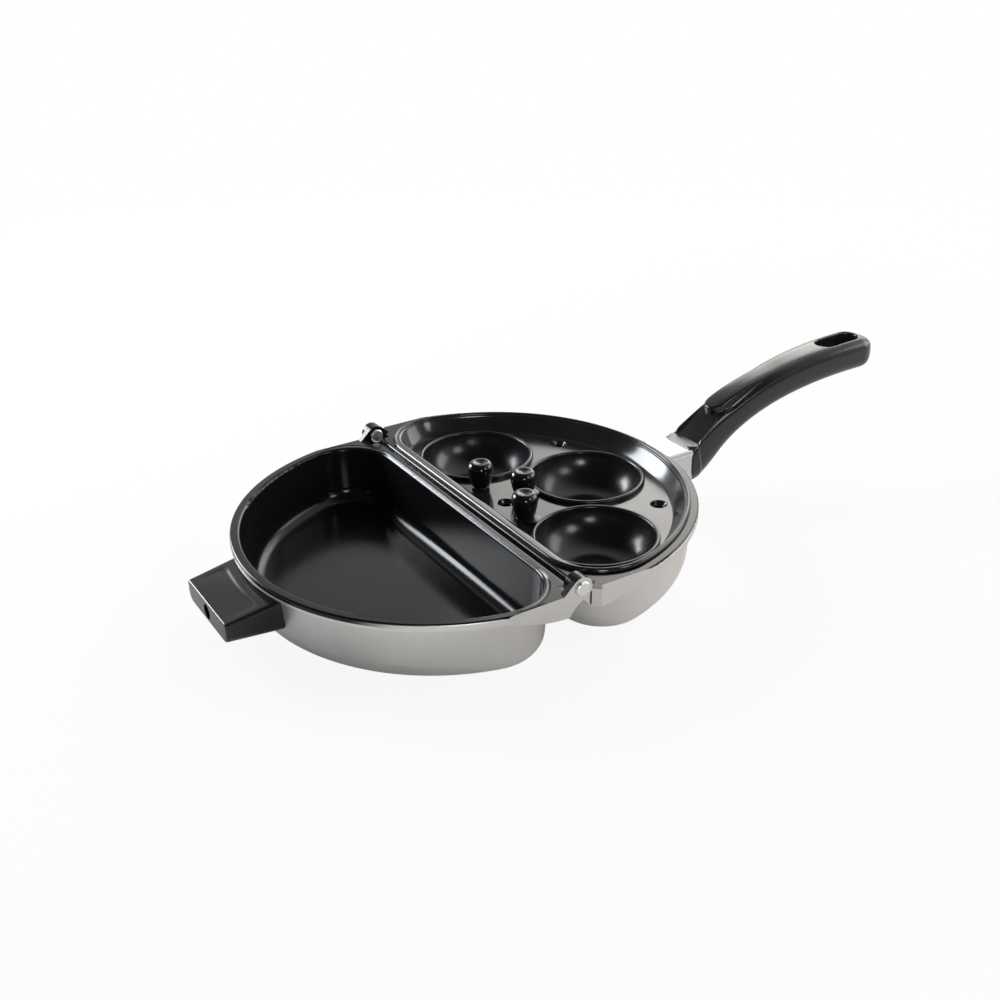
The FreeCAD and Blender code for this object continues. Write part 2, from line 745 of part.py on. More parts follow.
def tray():
    """The pressed tray: beaded D-shaped rim, sloped wall and sunk floor with cup holes and vents."""
    neck = (tray_neck_radius, wall_straight + wall_thickness + tray_clearance, tray_corner_radius)
    edge = (neck[0] + tray_bead_width, neck[1] - tray_straight_flange, tray_corner_radius + tray_bead_width)
    inner = inset(neck, tray_sheet)
    top = tray_seat + tray_bead_height
    flange_top = tray_seat + tray_sheet
    bead = d_plate(*edge, tray_seat, top).cut(d_plate(*inset(edge, tray_bead_width), tray_seat, top))
    bead = bead.makeFillet(tray_bead_round, [e for e in bead.Edges if e.BoundBox.ZMin > top - tiny])
    flange = d_plate(*inset(edge, tray_bead_width / 2), tray_seat, flange_top)
    shell = tapered_d(inset(neck, tray_wall_slope), tray_floor - tray_sheet, neck, flange_top,
                      tray_bend_radius + tray_sheet)
    well = tapered_d(inset(inner, tray_wall_slope), tray_floor, inner, flange_top, tray_bend_radius)
    mouth = d_plate(*inner, flange_top, top + tray_sheet)
    holes = [Part.makeCone(vent_radius, vent_mouth_radius, tray_sheet, at - UP * tray_sheet)
             for at in vent_places()]
    hole_radius = cup_radius + cup_sheet + cup_hole_clearance
    holes += [disc(hole_radius, far, at - UP * (far / 2), UP) for _, _, at in cup_places()]
    return bead.fuse([flange, shell]).cut([well, mouth]).cut(holes).removeSplitter()


def egg_cup():
    """A round cup about the origin with a rolled lip that rests on the tray and a knob tab towards -X."""
    outside_bottom = floor_thickness + cup_floor_gap
    inside_bottom = outside_bottom + cup_sheet
    bowl_radius = cup_radius + cup_sheet
    outward = V(1, 0, -1)
    points = [V(0, 0, inside_bottom), V(cup_bottom_radius, 0, inside_bottom), V(cup_radius, 0, tab_top),
              V(cup_lip_radius, 0, tab_top), V(cup_lip_radius, 0, cup_seat),
              V(cup_lip_radius - cup_sheet, 0, cup_seat), V(cup_lip_radius - cup_sheet, 0, tab_low),
              V(bowl_radius, 0, tab_low), V(cup_bottom_radius, 0, outside_bottom), V(0, 0, outside_bottom)]
    edges = [line(a, b) for a, b in zip(points, points[1:] + points[:1])]
    edges[1] = bowed(points[1], points[2], cup_bowl_sag, outward)
    edges[7] = bowed(points[7], points[8], cup_bowl_sag, outward)
    bowl = Part.Face(Part.Wire(edges)).revolve(V(0, 0, 0), UP, 360)
    bowl = bowl.makeFillet(cup_lip_round, [e for e in bowl.Edges if is_lip_edge(e)])
    tab_end = V(-knob_reach, 0, tab_low)
    tab = disc(tab_radius, cup_sheet, tab_end, UP)
    tab = tab.fuse(box((-knob_reach, -cup_radius), (-tab_radius, tab_radius), (tab_low, tab_top)))
    tab = tab.cut(disc(cup_lip_radius - cup_sheet, far, V(0, 0, -far / 2), UP))
    hole = disc(knob_screw_radius + screw_fit, cup_sheet, tab_end, UP)
    return bowl.fuse(tab).cut(hole).removeSplitter()


def is_lip_edge(edge):
    """True for the upper outside edge of a cup's rolled lip."""
    point = middle(edge)
    on_top = edge.Closed and abs(point.z - tab_top) < tiny
    return on_top and abs(math.hypot(point.x, point.y) - cup_lip_radius) < tiny


def knob():
    """A plug-shaped knob on a cup's tab: a slightly tapered stem under a rolled rim with a dished top."""
    top = tab_top + knob_height
    neck = V(knob_neck_radius, 0, top - knob_roll_height)
    crown = V(knob_crown_radius, 0, top)
    dish = V(knob_dish_radius, 0, top - knob_dish)
    foot = V(knob_foot_radius, 0, tab_top)
    roll = V(knob_radius, 0, top - knob_roll_height / 2)
    base = V(0, 0, tab_top)
    heart = V(0, 0, dish.z)
    outline = Part.Wire([line(base, foot), line(foot, neck), Part.Arc(neck, roll, crown).toShape(),
                         bowed(crown, dish, knob_dish_sag, UP * -1), line(dish, heart), line(heart, base)])
    body = Part.Face(outline).revolve(V(0, 0, 0), UP, 360)
    body = body.cut(disc(knob_screw_radius + screw_fit, knob_screw_length + screw_tip_room, base, UP))
    body.translate(V(-knob_reach, 0, 0))
    return body


def knob_screw():
    """Flat-headed screw from under the tab up into the knob."""
    seat = V(-knob_reach, 0, tab_low)
    shank = disc(knob_screw_radius, cup_sheet + knob_screw_length, seat, UP)
    return shank.fuse(screw_head(seat, UP * -1, knob_screw_head_radius, knob_screw_head))


def on_poacher_side(shape):
    """Moves a piece from the hinge's own frame to its place on the poacher side."""
    shape.translate(V(-hinge_to_origin, 0, 0))
    return shape


def on_omelette_side(shape):
    """Turns a piece to the omelette side, shifted along the hinge so that the ears lap."""
    shape.rotate(V(0, 0, 0), UP, 180)
    shape.translate(V(-hinge_to_origin, -lap, 0))
    return shape


def hinge_pieces():
    """Rivets and washers: heads bear on the omelette half's ears, washers and tails on the poacher half's."""
    front_head = -ear_face - lap - rivet_play
    front_tail = -ear_face + ear_thickness + washer_thickness
    back_head = ear_face - ear_thickness - lap - rivet_play
    back_tail = ear_face + washer_thickness
    return {"front_hinge_rivet": rivet(front_head, front_tail),
            "front_hinge_washer": washer(front_tail - washer_thickness),
            "back_hinge_rivet": rivet(back_head, back_tail),
            "back_hinge_washer": washer(ear_face)}


def build():
    """All pieces by node name, in their places."""
    poacher = half_pan(poacher_rim_radius, poacher_draft, poacher_base_radius, rim_edge_radius, handle_lug())
    omelette = half_pan(omelette_rim_radius, omelette_draft, omelette_base_radius, omelette_lip_radius,
                        side_boss())
    pieces = {"poacher_pan": on_poacher_side(poacher.cut(lug_screw_hole())),
              "omelette_pan": on_omelette_side(omelette.cut(boss_screw_hole()))}
    for name, shape in hinge_pieces().items():
        pieces[name] = on_poacher_side(shape)
    pieces["handle_ferrule"] = on_poacher_side(ferrule())
    pieces["long_handle"] = on_poacher_side(long_handle())
    pieces["long_handle_screw"] = on_poacher_side(handle_screw())
    pieces["side_handle"] = on_omelette_side(side_handle())
    pieces["side_handle_screw"] = on_omelette_side(side_screw())
    pieces["poacher_tray"] = on_poacher_side(tray())
    for name, angle, at in cup_places():
        for node, make in (("egg_cup_", egg_cup), ("cup_knob_", knob), ("cup_knob_screw_", knob_screw)):
            shape = make()
            shape.rotate(V(0, 0, 0), UP, angle)
            shape.translate(at)
            pieces[node + name] = on_poacher_side(shape)
    return pieces


os.makedirs("parts", exist_ok=True)
for name, shape in build().items():
    shape.exportStep("parts/" + name + ".step")
    print(name, "solids", len(shape.Solids), "valid", shape.isValid(), "volume", round(shape.Volume, 1))
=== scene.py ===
"""Dresses the folding egg poacher pan: finishes, tray, cups, knobs, grips and a plain studio."""
import math

import bmesh
import bpy
import numpy as np
from bpy.props import FloatProperty, FloatVectorProperty, PointerProperty
from mathutils import Matrix, Vector
from mathutils.geometry import delaunay_2d_cdt


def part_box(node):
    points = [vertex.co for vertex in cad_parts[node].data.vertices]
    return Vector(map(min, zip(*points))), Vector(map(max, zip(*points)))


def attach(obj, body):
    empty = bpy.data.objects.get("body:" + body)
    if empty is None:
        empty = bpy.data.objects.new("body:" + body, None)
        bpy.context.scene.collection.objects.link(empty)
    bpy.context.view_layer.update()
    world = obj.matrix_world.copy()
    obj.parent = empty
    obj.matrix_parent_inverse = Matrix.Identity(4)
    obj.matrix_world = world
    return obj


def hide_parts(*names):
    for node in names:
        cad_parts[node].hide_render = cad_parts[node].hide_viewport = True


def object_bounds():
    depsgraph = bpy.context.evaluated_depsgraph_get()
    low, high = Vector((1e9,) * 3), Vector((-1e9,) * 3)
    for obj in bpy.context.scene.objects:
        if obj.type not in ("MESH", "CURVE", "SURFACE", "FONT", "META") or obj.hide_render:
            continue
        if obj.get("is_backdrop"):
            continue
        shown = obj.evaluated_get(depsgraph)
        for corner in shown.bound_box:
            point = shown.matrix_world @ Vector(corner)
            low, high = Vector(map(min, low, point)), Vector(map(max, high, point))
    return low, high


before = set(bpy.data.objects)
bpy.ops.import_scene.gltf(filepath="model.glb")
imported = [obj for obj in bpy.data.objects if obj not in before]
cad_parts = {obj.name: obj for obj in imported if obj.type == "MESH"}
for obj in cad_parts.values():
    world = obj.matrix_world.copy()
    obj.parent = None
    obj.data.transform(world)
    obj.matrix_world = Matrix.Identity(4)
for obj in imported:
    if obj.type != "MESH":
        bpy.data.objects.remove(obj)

bl_info = {
    "name": "Folding Egg Poacher Pan",
    "version": (1, 0, 0),
    "blender": (4, 5, 0),
    "location": "View3D > Sidebar > Poacher Pan",
    "description": "Builds the visible pieces, finishes and studio of a folding egg poacher pan",
    "category": "Object",
}

PLACES = ("front", "middle", "back")
HINGE_X = -0.060

# Place and sizes in metres of the omelette well's mouth
OMELETTE_LIP = {"Centre": (-0.073, -0.0036, 0.0), "Radius": 0.099, "Straight": -0.0662, "Corner": 0.025}

# Angles from which an edge is shaded sharp, and the distance at which points are welded
CREASE = math.radians(40.0)
CUP_CREASE = math.radians(35.0)
WELD = 0.000002

# Numbers of points along the curves of the made pieces
STEPS = {
    "tray_round": 161, "tray_corner": 41, "tray_side": 61, "bead": 19, "mouth": 7, "tray_wall": 40,
    "hole": 128, "vent": 12, "bowl": 40, "lip_roll": 17, "tab_edge": 9, "knob": 24, "dish": 16,
    "cup_turn": 64, "tab_turn": 32, "knob_turn": 48, "grip": 330, "grip_fine": 2001, "grip_end": 18,
    "slot_edge": 7, "slot_wall": 12, "grip_top": 46, "grip_side": 44, "grip_under": 26, "side_top": 44,
    "side_edge": 11, "side_wall": 12, "side_under": 20, "side_length": 70, "side_face": 8, "side_root": 6}

# Lights of the studio: name, shape, direction, distance, size, and the settings of power and tint
PANELS = (
    ("wide_panel", "RECTANGLE", (0.71, 0.58, 0.41), 1.4, (1.02, 0.70), "wide_panel", "warm_tint"),
    ("core_panel", "RECTANGLE", (0.67, 0.60, 0.44), 1.35, (0.46, 0.55), "core_panel", "warm_tint"),
    ("side_panel", "RECTANGLE", (0.95, -0.25, 0.40), 1.5, (1.0, 0.8), "side_panel", "warm_tint"),
    ("key_panel", "RECTANGLE", (-0.48, 0.83, 0.29), 1.3, (0.60, 0.55), "key_panel", "cool_tint"),
    ("right_front_panel", "DISK", (0.25, -0.83, 0.50), 1.2, (0.36, 0.36), "front_panel", "cool_tint"),
    ("left_front_panel", "DISK", (-0.41, -0.89, 0.21), 1.2, (0.30, 0.30), "front_panel", "cool_tint"))


def length(label, meaning, value):
    """A length setting in metres."""
    return FloatProperty(name=label, description=meaning, default=value, unit="LENGTH")


def lengths(label, meaning, value):
    """A setting of two or three lengths in metres."""
    return FloatVectorProperty(name=label, description=meaning, default=value, size=len(value), unit="LENGTH")


def number(label, meaning, value, least=0.0):
    """A plain number setting with its least value."""
    return FloatProperty(name=label, description=meaning, default=value, min=least)


def fraction(label, meaning, value):
    """A setting between 0 and 1."""
    return FloatProperty(name=label, description=meaning, default=value, min=0.0, max=1.0, subtype="FACTOR")


def turn_angle(label, meaning, degrees):
    """An angle setting, given here in degrees."""
    return FloatProperty(name=label, description=meaning, default=math.radians(degrees), subtype="ANGLE",
                         unit="ROTATION")


def watts(label, meaning, value):
    """The power setting of a light."""
    return FloatProperty(name=label, description=meaning, default=value, min=0.0, unit="POWER")


def tone(label, meaning, value):
    """A colour setting."""
    return FloatVectorProperty(name=label, description=meaning, default=value, min=0.0, max=1.0,
                               subtype="COLOR")


class PoacherFinishes(bpy.types.PropertyGroup):
    """Colours of the pan's materials."""

    aluminium: tone("Cast aluminium", "Satin metal outside the two halves", (0.75, 0.725, 0.69))
    nonstick: tone("Nonstick coat", "Dark coat on the rims and inside the wells", (0.005, 0.005, 0.0054))
    fleck: tone("Coat fleck", "Pale flecks in the nonstick coat", (0.03, 0.03, 0.031))
    enamel: tone("Tray enamel", "Glossy black of the pressed tray", (0.012, 0.012, 0.013))
    cup: tone("Cup coat", "Half gloss black of the egg cups", (0.008, 0.008, 0.0085))
    grip: tone("Grip plastic", "Black moulding of the two grips", (0.008, 0.008, 0.009))
    knob: tone("Knob plastic", "Glossy black of the cup knobs", (0.006, 0.006, 0.0065))
    steel: tone("Polished steel", "Bright sleeve on the long handle", (0.80, 0.80, 0.79))
    rivet: tone("Rivet aluminium", "Hinge rivets and washers", (0.86, 0.86, 0.85))
    screw: tone("Screw steel", "Plated screws", (0.52, 0.52, 0.51))


class PoacherStage(bpy.types.PropertyGroup):
    """Floor, light and camera of the studio."""

    floor: tone("Floor", "Pale floor and backdrop", (0.86, 0.86, 0.86))
    floor_lift: fraction("Floor lift", "Share of plain white that the camera sees near the pan", 0.90)
    mirror_lift: fraction("Mirror lift", "Share of plain white that reflections see on the floor", 0.05)
    dark_sky: number("Dark sky", "Brightness of the studio to the left and behind the camera", 0.06)
    pale_sky: number("Pale sky", "Brightness of the studio to the right", 1.0)
    sky_turn: turn_angle("Sky turn", "Turn of the sky's pale side from the long handle's way", 20.0)
    warm_tint: tone("Warm tint", "Warm white of the wide, core and side panels", (1.0, 0.965, 0.915))
    cool_tint: tone("Cool tint", "Cool white of the key and front panels", (0.91, 0.955, 1.0))
    wide_panel: watts("Wide panel", "Power of the wide soft panel behind and to the right", 4.6)
    core_panel: watts("Core panel", "Power of the brighter middle of the wide panel", 1.5)
    side_panel: watts("Side panel", "Power of the large dim panel to the right", 9.0)
    key_panel: watts("Key panel", "Power of the low soft panel behind and to the left", 20.0)
    front_panel: watts("Front panels", "Power of each small round panel before the pan", 2.2)
    lens: number("Lens", "Focal length of the camera in millimetres", 44.85, 1.0)
    azimuth: turn_angle("Camera azimuth", "Turn of the camera round the object", -31.52)
    elevation: turn_angle("Camera elevation", "Height of the camera above the horizon", 27.08)
    roll: turn_angle("Camera roll", "Lean of the camera about its own view", -1.17)
    distance: length("Camera distance", "From the target to the camera", 0.62645)
    target: lengths("Camera target", "Point that the camera looks at", (-0.04319, -0.00952, 0.034))


class PoacherLongGrip(bpy.types.PropertyGroup):
    """Sizes of the long handle."""

    bend: lengths("Bend", "First control point of the middle line, from the sleeve", (0.031, 0.023))
    crest: lengths("Crest", "Second control point of the middle line", (0.067, 0.039))
    tip: lengths("Tip", "End of the middle line", (0.13920, 0.0374))
    front_width: length("Front width", "Width at the sleeve", 0.026)
    front_height: length("Front height", "Height at the sleeve", 0.0226)
    waist_width: length("Waist width", "Width at the waist", 0.0215)
    waist_height: length("Waist height", "Height at the waist", 0.0186)
    end_width: length("End width", "Width near the tip", 0.0255)
    end_height: length("End height", "Height near the tip", 0.0188)
    waist_at: fraction("Waist at", "Share of the middle line at the waist", 0.42)
    upright_until: fraction("Upright until", "Share where sections stand square to the line", 0.15)
    squareness: number("Squareness", "Power of the rounded section", 3.2, 2.0)
    tip_round: length("Tip round", "Length over which the tip closes", 0.013)
    belly: length("Belly", "Swelling of the underside behind the sleeve", 0.0042)
    belly_at: fraction("Belly at", "Share where the belly is deepest", 0.07)
    ledge_overlap: length("Ledge overlap", "Reach of the front ledge over the sleeve", 0.0016)
    ledge_length: length("Ledge length", "Length of the front ledge", 0.0072)
    ledge_thickness: length("Ledge thickness", "Height of the ledge over the sleeve", 0.0011)
    collar: length("Collar", "Length of the collar round the sleeve's end", 0.0052)
    collar_step: length("Collar step", "How far the collar stands out on each side", 0.0006)
    slope_width: length("Slope width", "Width of the sunk face before the thumb rest", 0.019)
    slope_angle: turn_angle("Slope angle", "Rise of the sunk face", 38.0)
    slope_rail: length("Slope rail", "Height of the rails beside the sunk face", 0.0016)
    thumb_width: length("Thumb rest width", "Width of the raised tongue", 0.0140)
    thumb_rise: length("Thumb rest rise", "Height of the tongue's nose", 0.0026)
    thumb_round: length("Thumb rest round", "Rounding of the tongue's edges", 0.0018)
    thumb_start: fraction("Thumb rest start", "Share at the nose's middle", 0.30)
    thumb_end: fraction("Thumb rest end", "Share where the tongue sinks away", 0.62)
    groove_width: length("Groove width", "Width of the trough beside the tongue", 0.0038)
    groove_depth: length("Groove depth", "Depth of the trough beside the tongue", 0.0015)
    hole_length: length("Hole length", "Length of the hang hole", 0.0285)
    hole_width: length("Hole width", "Width of the hang hole", 0.0126)
    hole_margin: length("Hole margin", "From the hang hole to the tip", 0.0105)
    hole_round: length("Hole round", "Rounding of the hang hole's edges", 0.0013)
    pocket_radius: length("Pocket radius", "Radius of the screw pocket in the underside", 0.0042)
    pocket_lift: length("Pocket lift", "From the screw's low end up to the pocket's roof", 0.0024)


class PoacherSideGrip(bpy.types.PropertyGroup):
    """Sizes of the side handle that its box does not give."""

    inner_height: length("Inner height", "Height at the pan's wall", 0.014)
    outer_height: length("Outer height", "Height at the outer end", 0.0106)
    top_lift: length("Top lift", "Extra height of the top at the pan's wall", 0.0026)
    taper: length("Taper", "Loss of width from the wall to the outer end", 0.0020)
    top_edge: length("Top edge", "Rounding of the upper edges", 0.0017)
    low_edge: length("Low edge", "Rounding of the lower edges", 0.0044)
    end_edge: length("End edge", "Rounding of the outer end", 0.0008)
    border: length("Border", "Width of the frame round the sunk panel", 0.0045)
    panel_depth: length("Panel depth", "Measure of the sunk panel's depth at its inner border", 0.0004)
    panel_round: length("Panel round", "Width of the panel's soft edge", 0.0026)
    bore_radius: length("Bore radius", "Radius of the screw's bore", 0.0037)
    bore_depth: length("Bore depth", "Depth of the screw's bore", 0.0082)
    pan_middle: length("Pan middle", "Place along X of the middle of the round wall behind the grip", -0.073)
    wall_radius: length("Wall radius", "Outside radius of that wall at the rim", 0.1015)
    rim_radius: length("Rim radius", "Radius of the rim over that wall", 0.104)
    rim_height: length("Rim height", "Height of the rim's top", 0.034)
    draft: turn_angle("Wall draft", "Draft of the pan's wall behind the grip", 4.2)


class PoacherTray(bpy.types.PropertyGroup):
    """Sizes of the pressed tray that its box does not give."""

    sheet: length("Sheet", "Thickness of the tray's sheet", 0.0008)
    bead: length("Bead", "Width of the rolled bead round the edge", 0.0024)
    bead_rise: length("Bead rise", "Height of the bead over the flange", 0.0011)
    depth: length("Depth", "From the flange down to the floor", 0.0091)
    corner: length("Corner", "Radius of the two corners of the edge", 0.0289)
    flange: length("Flange", "Width of the flange inside the bead on the straight side", 0.0030)
    mouth: length("Mouth round", "Rounding between the flange and the wall", 0.0008)
    slope: length("Wall slope", "How far the wall leans in on the round side", 0.0056)
    straight_slope: length("Straight slope", "How far the wall leans in on the straight side", 0.0018)
    bend: number("Bend", "Power of the wall's curve into the floor", 1.28, 1.0)
    level_ring: length("Level ring", "Width of the level ring round the floor and each vent", 0.0003)
    cup_hole: length("Cup hole", "Radius of a cup hole", 0.0306)
    vent_mouth: length("Vent mouth", "Radius of a vent at the floor", 0.0046)
    vent_throat: length("Vent throat", "Radius of a vent at its foot", 0.0028)
    vent_depth: length("Vent depth", "Depth of a vent", 0.0022)
    vent_ring: length("Vent ring", "Distance of the outer vents from the middle of the round edge", 0.0874)
    vent_turn: turn_angle("Vent turn", "Turn of the outer vents from the middle cup", 31.2)
    vent_inner: length("Inner vent", "Distance of the inner vent from the middle of the round edge", 0.0108)


class PoacherCups(bpy.types.PropertyGroup):
    """Sizes of the egg cups and knobs that their boxes do not give."""

    sheet: length("Sheet", "Thickness of a cup's sheet", 0.0010)
    roll: length("Lip roll", "Radius of the rolled lip", 0.00115)
    skirt: length("Lip skirt", "Height of the rolled lip", 0.0022)
    bottom: length("Bottom", "Radius of the flat bottom", 0.011)
    sag: length("Bowl sag", "How far the bowl's curve stands off its chord", 0.0049)
    tab_half: length("Tab half width", "Half the width of the knob tab", 0.0047)
    knob_swell: number("Knob swell", "Radius of the knob over half its box", 1.08)
    knob_foot: fraction("Knob foot", "Share of the knob's radius at its foot", 0.70)
    knob_shoulder: fraction("Knob shoulder", "Share of its height at its widest", 0.72)
    knob_dish: fraction("Knob dish", "Share of its radius inside the rolled crown", 0.60)
    knob_dish_depth: length("Knob dish depth", "Depth of the dished top", 0.0011)


def add_node(tree, kind, inputs=None, **settings):
    """Adds a shader node, sets its own settings, and links or sets the inputs named in a dictionary."""
    node = tree.nodes.new(kind)
    for name, value in settings.items():
        setattr(node, name, value)
    for name, value in (inputs or {}).items():
        if isinstance(value, bpy.types.NodeSocket):
            tree.links.new(value, node.inputs[name])
        else:
            node.inputs[name].default_value = value
    return node


def math_node(tree, operation, *values):
    """A Math node over one, two or three sockets or numbers; gives its value socket."""
    node = add_node(tree, "ShaderNodeMath", dict(enumerate(values)), operation=operation)
    return node.outputs[0]


def product(tree, first, *others):
    """The product of sockets or numbers, from Math nodes in a row; gives its value socket."""
    for other in others:
        first = math_node(tree, "MULTIPLY", first, other)
    return first


def less(tree, first, second):
    """The first of two sockets or numbers less the second; gives its value socket."""
    return math_node(tree, "SUBTRACT", first, second)


def vector_node(tree, operation, *values):
    """A Vector Math node over sockets or triples; gives the node."""
    return add_node(tree, "ShaderNodeVectorMath", dict(enumerate(values)), operation=operation)


def ramp(tree, value, low, high, start=0.0, end=1.0):
    """A smooth Map Range from low..high to start..end; gives its value socket."""
    node = add_node(tree, "ShaderNodeMapRange",
                    {"Value": value, "From Min": low, "From Max": high, "To Min": start, "To Max": end},
                    interpolation_type="SMOOTHSTEP")
    return node.outputs["Result"]


def between(tree, mask, start, end):
    """A value that goes smoothly from start to end as a mask goes from 0 to 1; gives its value socket."""
    return ramp(tree, mask, 0.0, 1.0, start, end)


def noise(tree, place, scale, detail, **others):
    """A Noise texture over a place; gives its value socket."""
    inputs = {"Vector": place, "Scale": scale, "Detail": detail, **others}
    return add_node(tree, "ShaderNodeTexNoise", inputs).outputs["Fac"]


def object_place(tree):
    """The socket of the object's own coordinates."""
    return add_node(tree, "ShaderNodeTexCoord").outputs["Object"]


def parts_of(tree, vector):
    """The X, Y and Z sockets of a vector socket."""
    return add_node(tree, "ShaderNodeSeparateXYZ", {0: vector}).outputs


def level_offset(tree, place, centre):
    """The level part of the way from a centre to a place; gives its vector socket."""
    offset = vector_node(tree, "SUBTRACT", place, centre)
    return vector_node(tree, "MULTIPLY", offset.outputs[0], (1.0, 1.0, 0.0)).outputs[0]


def mix_colours(tree, share, first, second):
    """A colour mix of two colours or sockets; gives its colour socket."""
    node = add_node(tree, "ShaderNodeMix", {0: share, 6: first, 7: second}, data_type="RGBA")
    return node.outputs[2]


def mix_values(tree, share, first, second):
    """A plain mix of two numbers or sockets; gives its value socket."""
    node = add_node(tree, "ShaderNodeMix", {0: share, 2: first, 3: second}, data_type="FLOAT")
    return node.outputs[0]


def rgba(colour, gain=1.0):
    """A colour setting, made darker or lighter by a gain, as the four numbers that a colour socket takes."""
    return (colour[0] * gain, colour[1] * gain, colour[2] * gain, 1.0)


def new_group(name, inputs, outputs):
    """A shader node group; gives the group, the sockets of its inputs and the sockets of its outputs.

    An input is a vector where its value is a tuple, and a number otherwise. Outputs are numbers.
    """
    group = bpy.data.node_groups.new(name, "ShaderNodeTree")
    for label, value in inputs.items():
        kind = "NodeSocketVector" if isinstance(value, tuple) else "NodeSocketFloat"
        group.interface.new_socket(label, in_out="INPUT", socket_type=kind).default_value = value
    for label in outputs:
        group.interface.new_socket(label, in_out="OUTPUT", socket_type="NodeSocketFloat")
    return group, group.nodes.new("NodeGroupInput").outputs, group.nodes.new("NodeGroupOutput").inputs


def use_group(tree, name, **values):
    """Puts a node group into a tree and sets its inputs; gives the node's outputs."""
    group = bpy.data.node_groups[name]
    node = add_node(tree, "ShaderNodeGroup", node_tree=group)
    for label, value in values.items():
        node.inputs[label].default_value = value
    return node.outputs


def make_grain_group():
    """Two sizes of fine noise in object coordinates, as a height and as a sparse fleck mask."""
    finer, fine_share, fleck = 2.7, 0.4, (0.60, 0.74)
    group, source, sink = new_group("fine_grain", {"Scale": 1500.0}, ("Height", "Fleck"))
    place = object_place(group)
    coarse = noise(group, place, source["Scale"], detail=3.0)
    fine = noise(group, place, product(group, source["Scale"], finer), detail=1.0)
    group.links.new(mix_values(group, fine_share, coarse, fine), sink["Height"])
    group.links.new(ramp(group, fine, *fleck), sink["Fleck"])


def make_marks_group():
    """Wide soft handling marks and thin scratches in object coordinates, as masks."""
    smudge, scratch = (0.35, 0.7), (0.68, 0.76)
    lay, stretch = (0.2, 0.1, 0.9), (40.0, 900.0, 500.0)
    group, source, sink = new_group("handling_marks", {"Scale": 18.0}, ("Smudge", "Scratch"))
    place = object_place(group)
    wide = noise(group, place, source["Scale"], detail=4.0, Roughness=0.6)
    group.links.new(ramp(group, wide, *smudge), sink["Smudge"])
    drawn = add_node(group, "ShaderNodeMapping", {"Vector": place, "Rotation": lay, "Scale": stretch})
    lines = noise(group, drawn.outputs["Vector"], scale=1.0, detail=1.0)
    group.links.new(ramp(group, lines, *scratch), sink["Scratch"])


def make_coat_group():
    """Where the sprayed coat lies, and where the flat base is, as masks.

    The coat lies on faces that look up or in towards a point inside, high on the rim, and along the hinge.
    """
    looks_in, looks_up, looks_down = (0.02, -0.12), (0.42, 0.62), (-0.9, -0.98)
    rim_height, rim_aside = (0.0313, 0.0319), (0.80, 0.60)
    hinge_width, hinge_reach = (0.0045, 0.0035), (0.096, 0.092)
    group, source, sink = new_group("coat_cover", {"Inside": (0.0, 0.0, 0.0)}, ("Mask", "Base"))
    coords = add_node(group, "ShaderNodeTexCoord").outputs
    outward = vector_node(group, "NORMALIZE", level_offset(group, coords["Object"], source["Inside"]))
    facing = vector_node(group, "DOT_PRODUCT", coords["Normal"], outward.outputs[0])
    normal = parts_of(group, coords["Normal"])
    place = parts_of(group, coords["Object"])
    aside = math_node(group, "ABSOLUTE", normal["Y"])
    edge = product(group, ramp(group, place["Z"], *rim_height), ramp(group, aside, *rim_aside))
    from_hinge = math_node(group, "ABSOLUTE", less(group, place["X"], HINGE_X))
    along = math_node(group, "ABSOLUTE", place["Y"])
    line = product(group, ramp(group, from_hinge, *hinge_width), ramp(group, along, *hinge_reach))
    covered = ramp(group, facing.outputs["Value"], *looks_in)
    for mask in (ramp(group, normal["Z"], *looks_up), edge, line):
        covered = math_node(group, "MAXIMUM", covered, mask)
    group.links.new(covered, sink["Mask"])
    group.links.new(ramp(group, normal["Z"], *looks_down), sink["Base"])


def make_lip_group():
    """Height of a rounded lip on a D-shaped mouth's straight side and corners, and where it is rubbed smooth.

    The distance beyond the mouth is the length of both shortfalls from the corner radius, one to the round
    side and one to the straight side, less that radius. The height's slope grows over the modelled fillet and
    dies away again over the flange.
    """
    starts, faded = 0.22, (0.028, 0.012)
    rubbed_from, rubbed_to = (0.0002, 0.0006), (0.0015, 0.0011)
    group, source, sink = new_group(
        "lip_round",
        {"Centre": (0.0, 0.0, 0.0), "Radius": 0.1, "Straight": 0.0, "Corner": 0.025, "Fillet": 0.0016,
         "Reach": 0.0009, "Slope": 1.2},
        ("Height", "Polish"))
    place = object_place(group)
    level = level_offset(group, place, source["Centre"])
    to_round = less(group, source["Radius"], vector_node(group, "LENGTH", level).outputs["Value"])
    to_straight = less(group, source["Straight"], parts_of(group, place)["X"])
    squares = []
    for way in (to_round, to_straight):
        short = math_node(group, "MAXIMUM", less(group, source["Corner"], way), 0.0)
        squares.append(product(group, short, short))
    reach = math_node(group, "SQRT", math_node(group, "ADD", *squares))
    beyond = less(group, reach, source["Corner"])
    over_fillet = ramp(group, math_node(group, "DIVIDE", beyond, source["Fillet"]), starts, 1.0)
    past = less(group, beyond, source["Fillet"])
    over_flange = ramp(group, math_node(group, "DIVIDE", past, source["Reach"]), 0.0, 1.0)
    first = product(group, over_fillet, over_fillet, (1.0 - starts) / 2.0, source["Fillet"])
    spent = product(group, over_flange, over_flange, 0.5)
    second = product(group, less(group, over_flange, spent), source["Reach"])
    near = ramp(group, to_straight, *faded)
    rise = product(group, math_node(group, "ADD", first, second), source["Slope"], near)
    group.links.new(rise, sink["Height"])
    rubbed = product(group, ramp(group, beyond, *rubbed_from), ramp(group, beyond, *rubbed_to), near)
    group.links.new(rubbed, sink["Polish"])


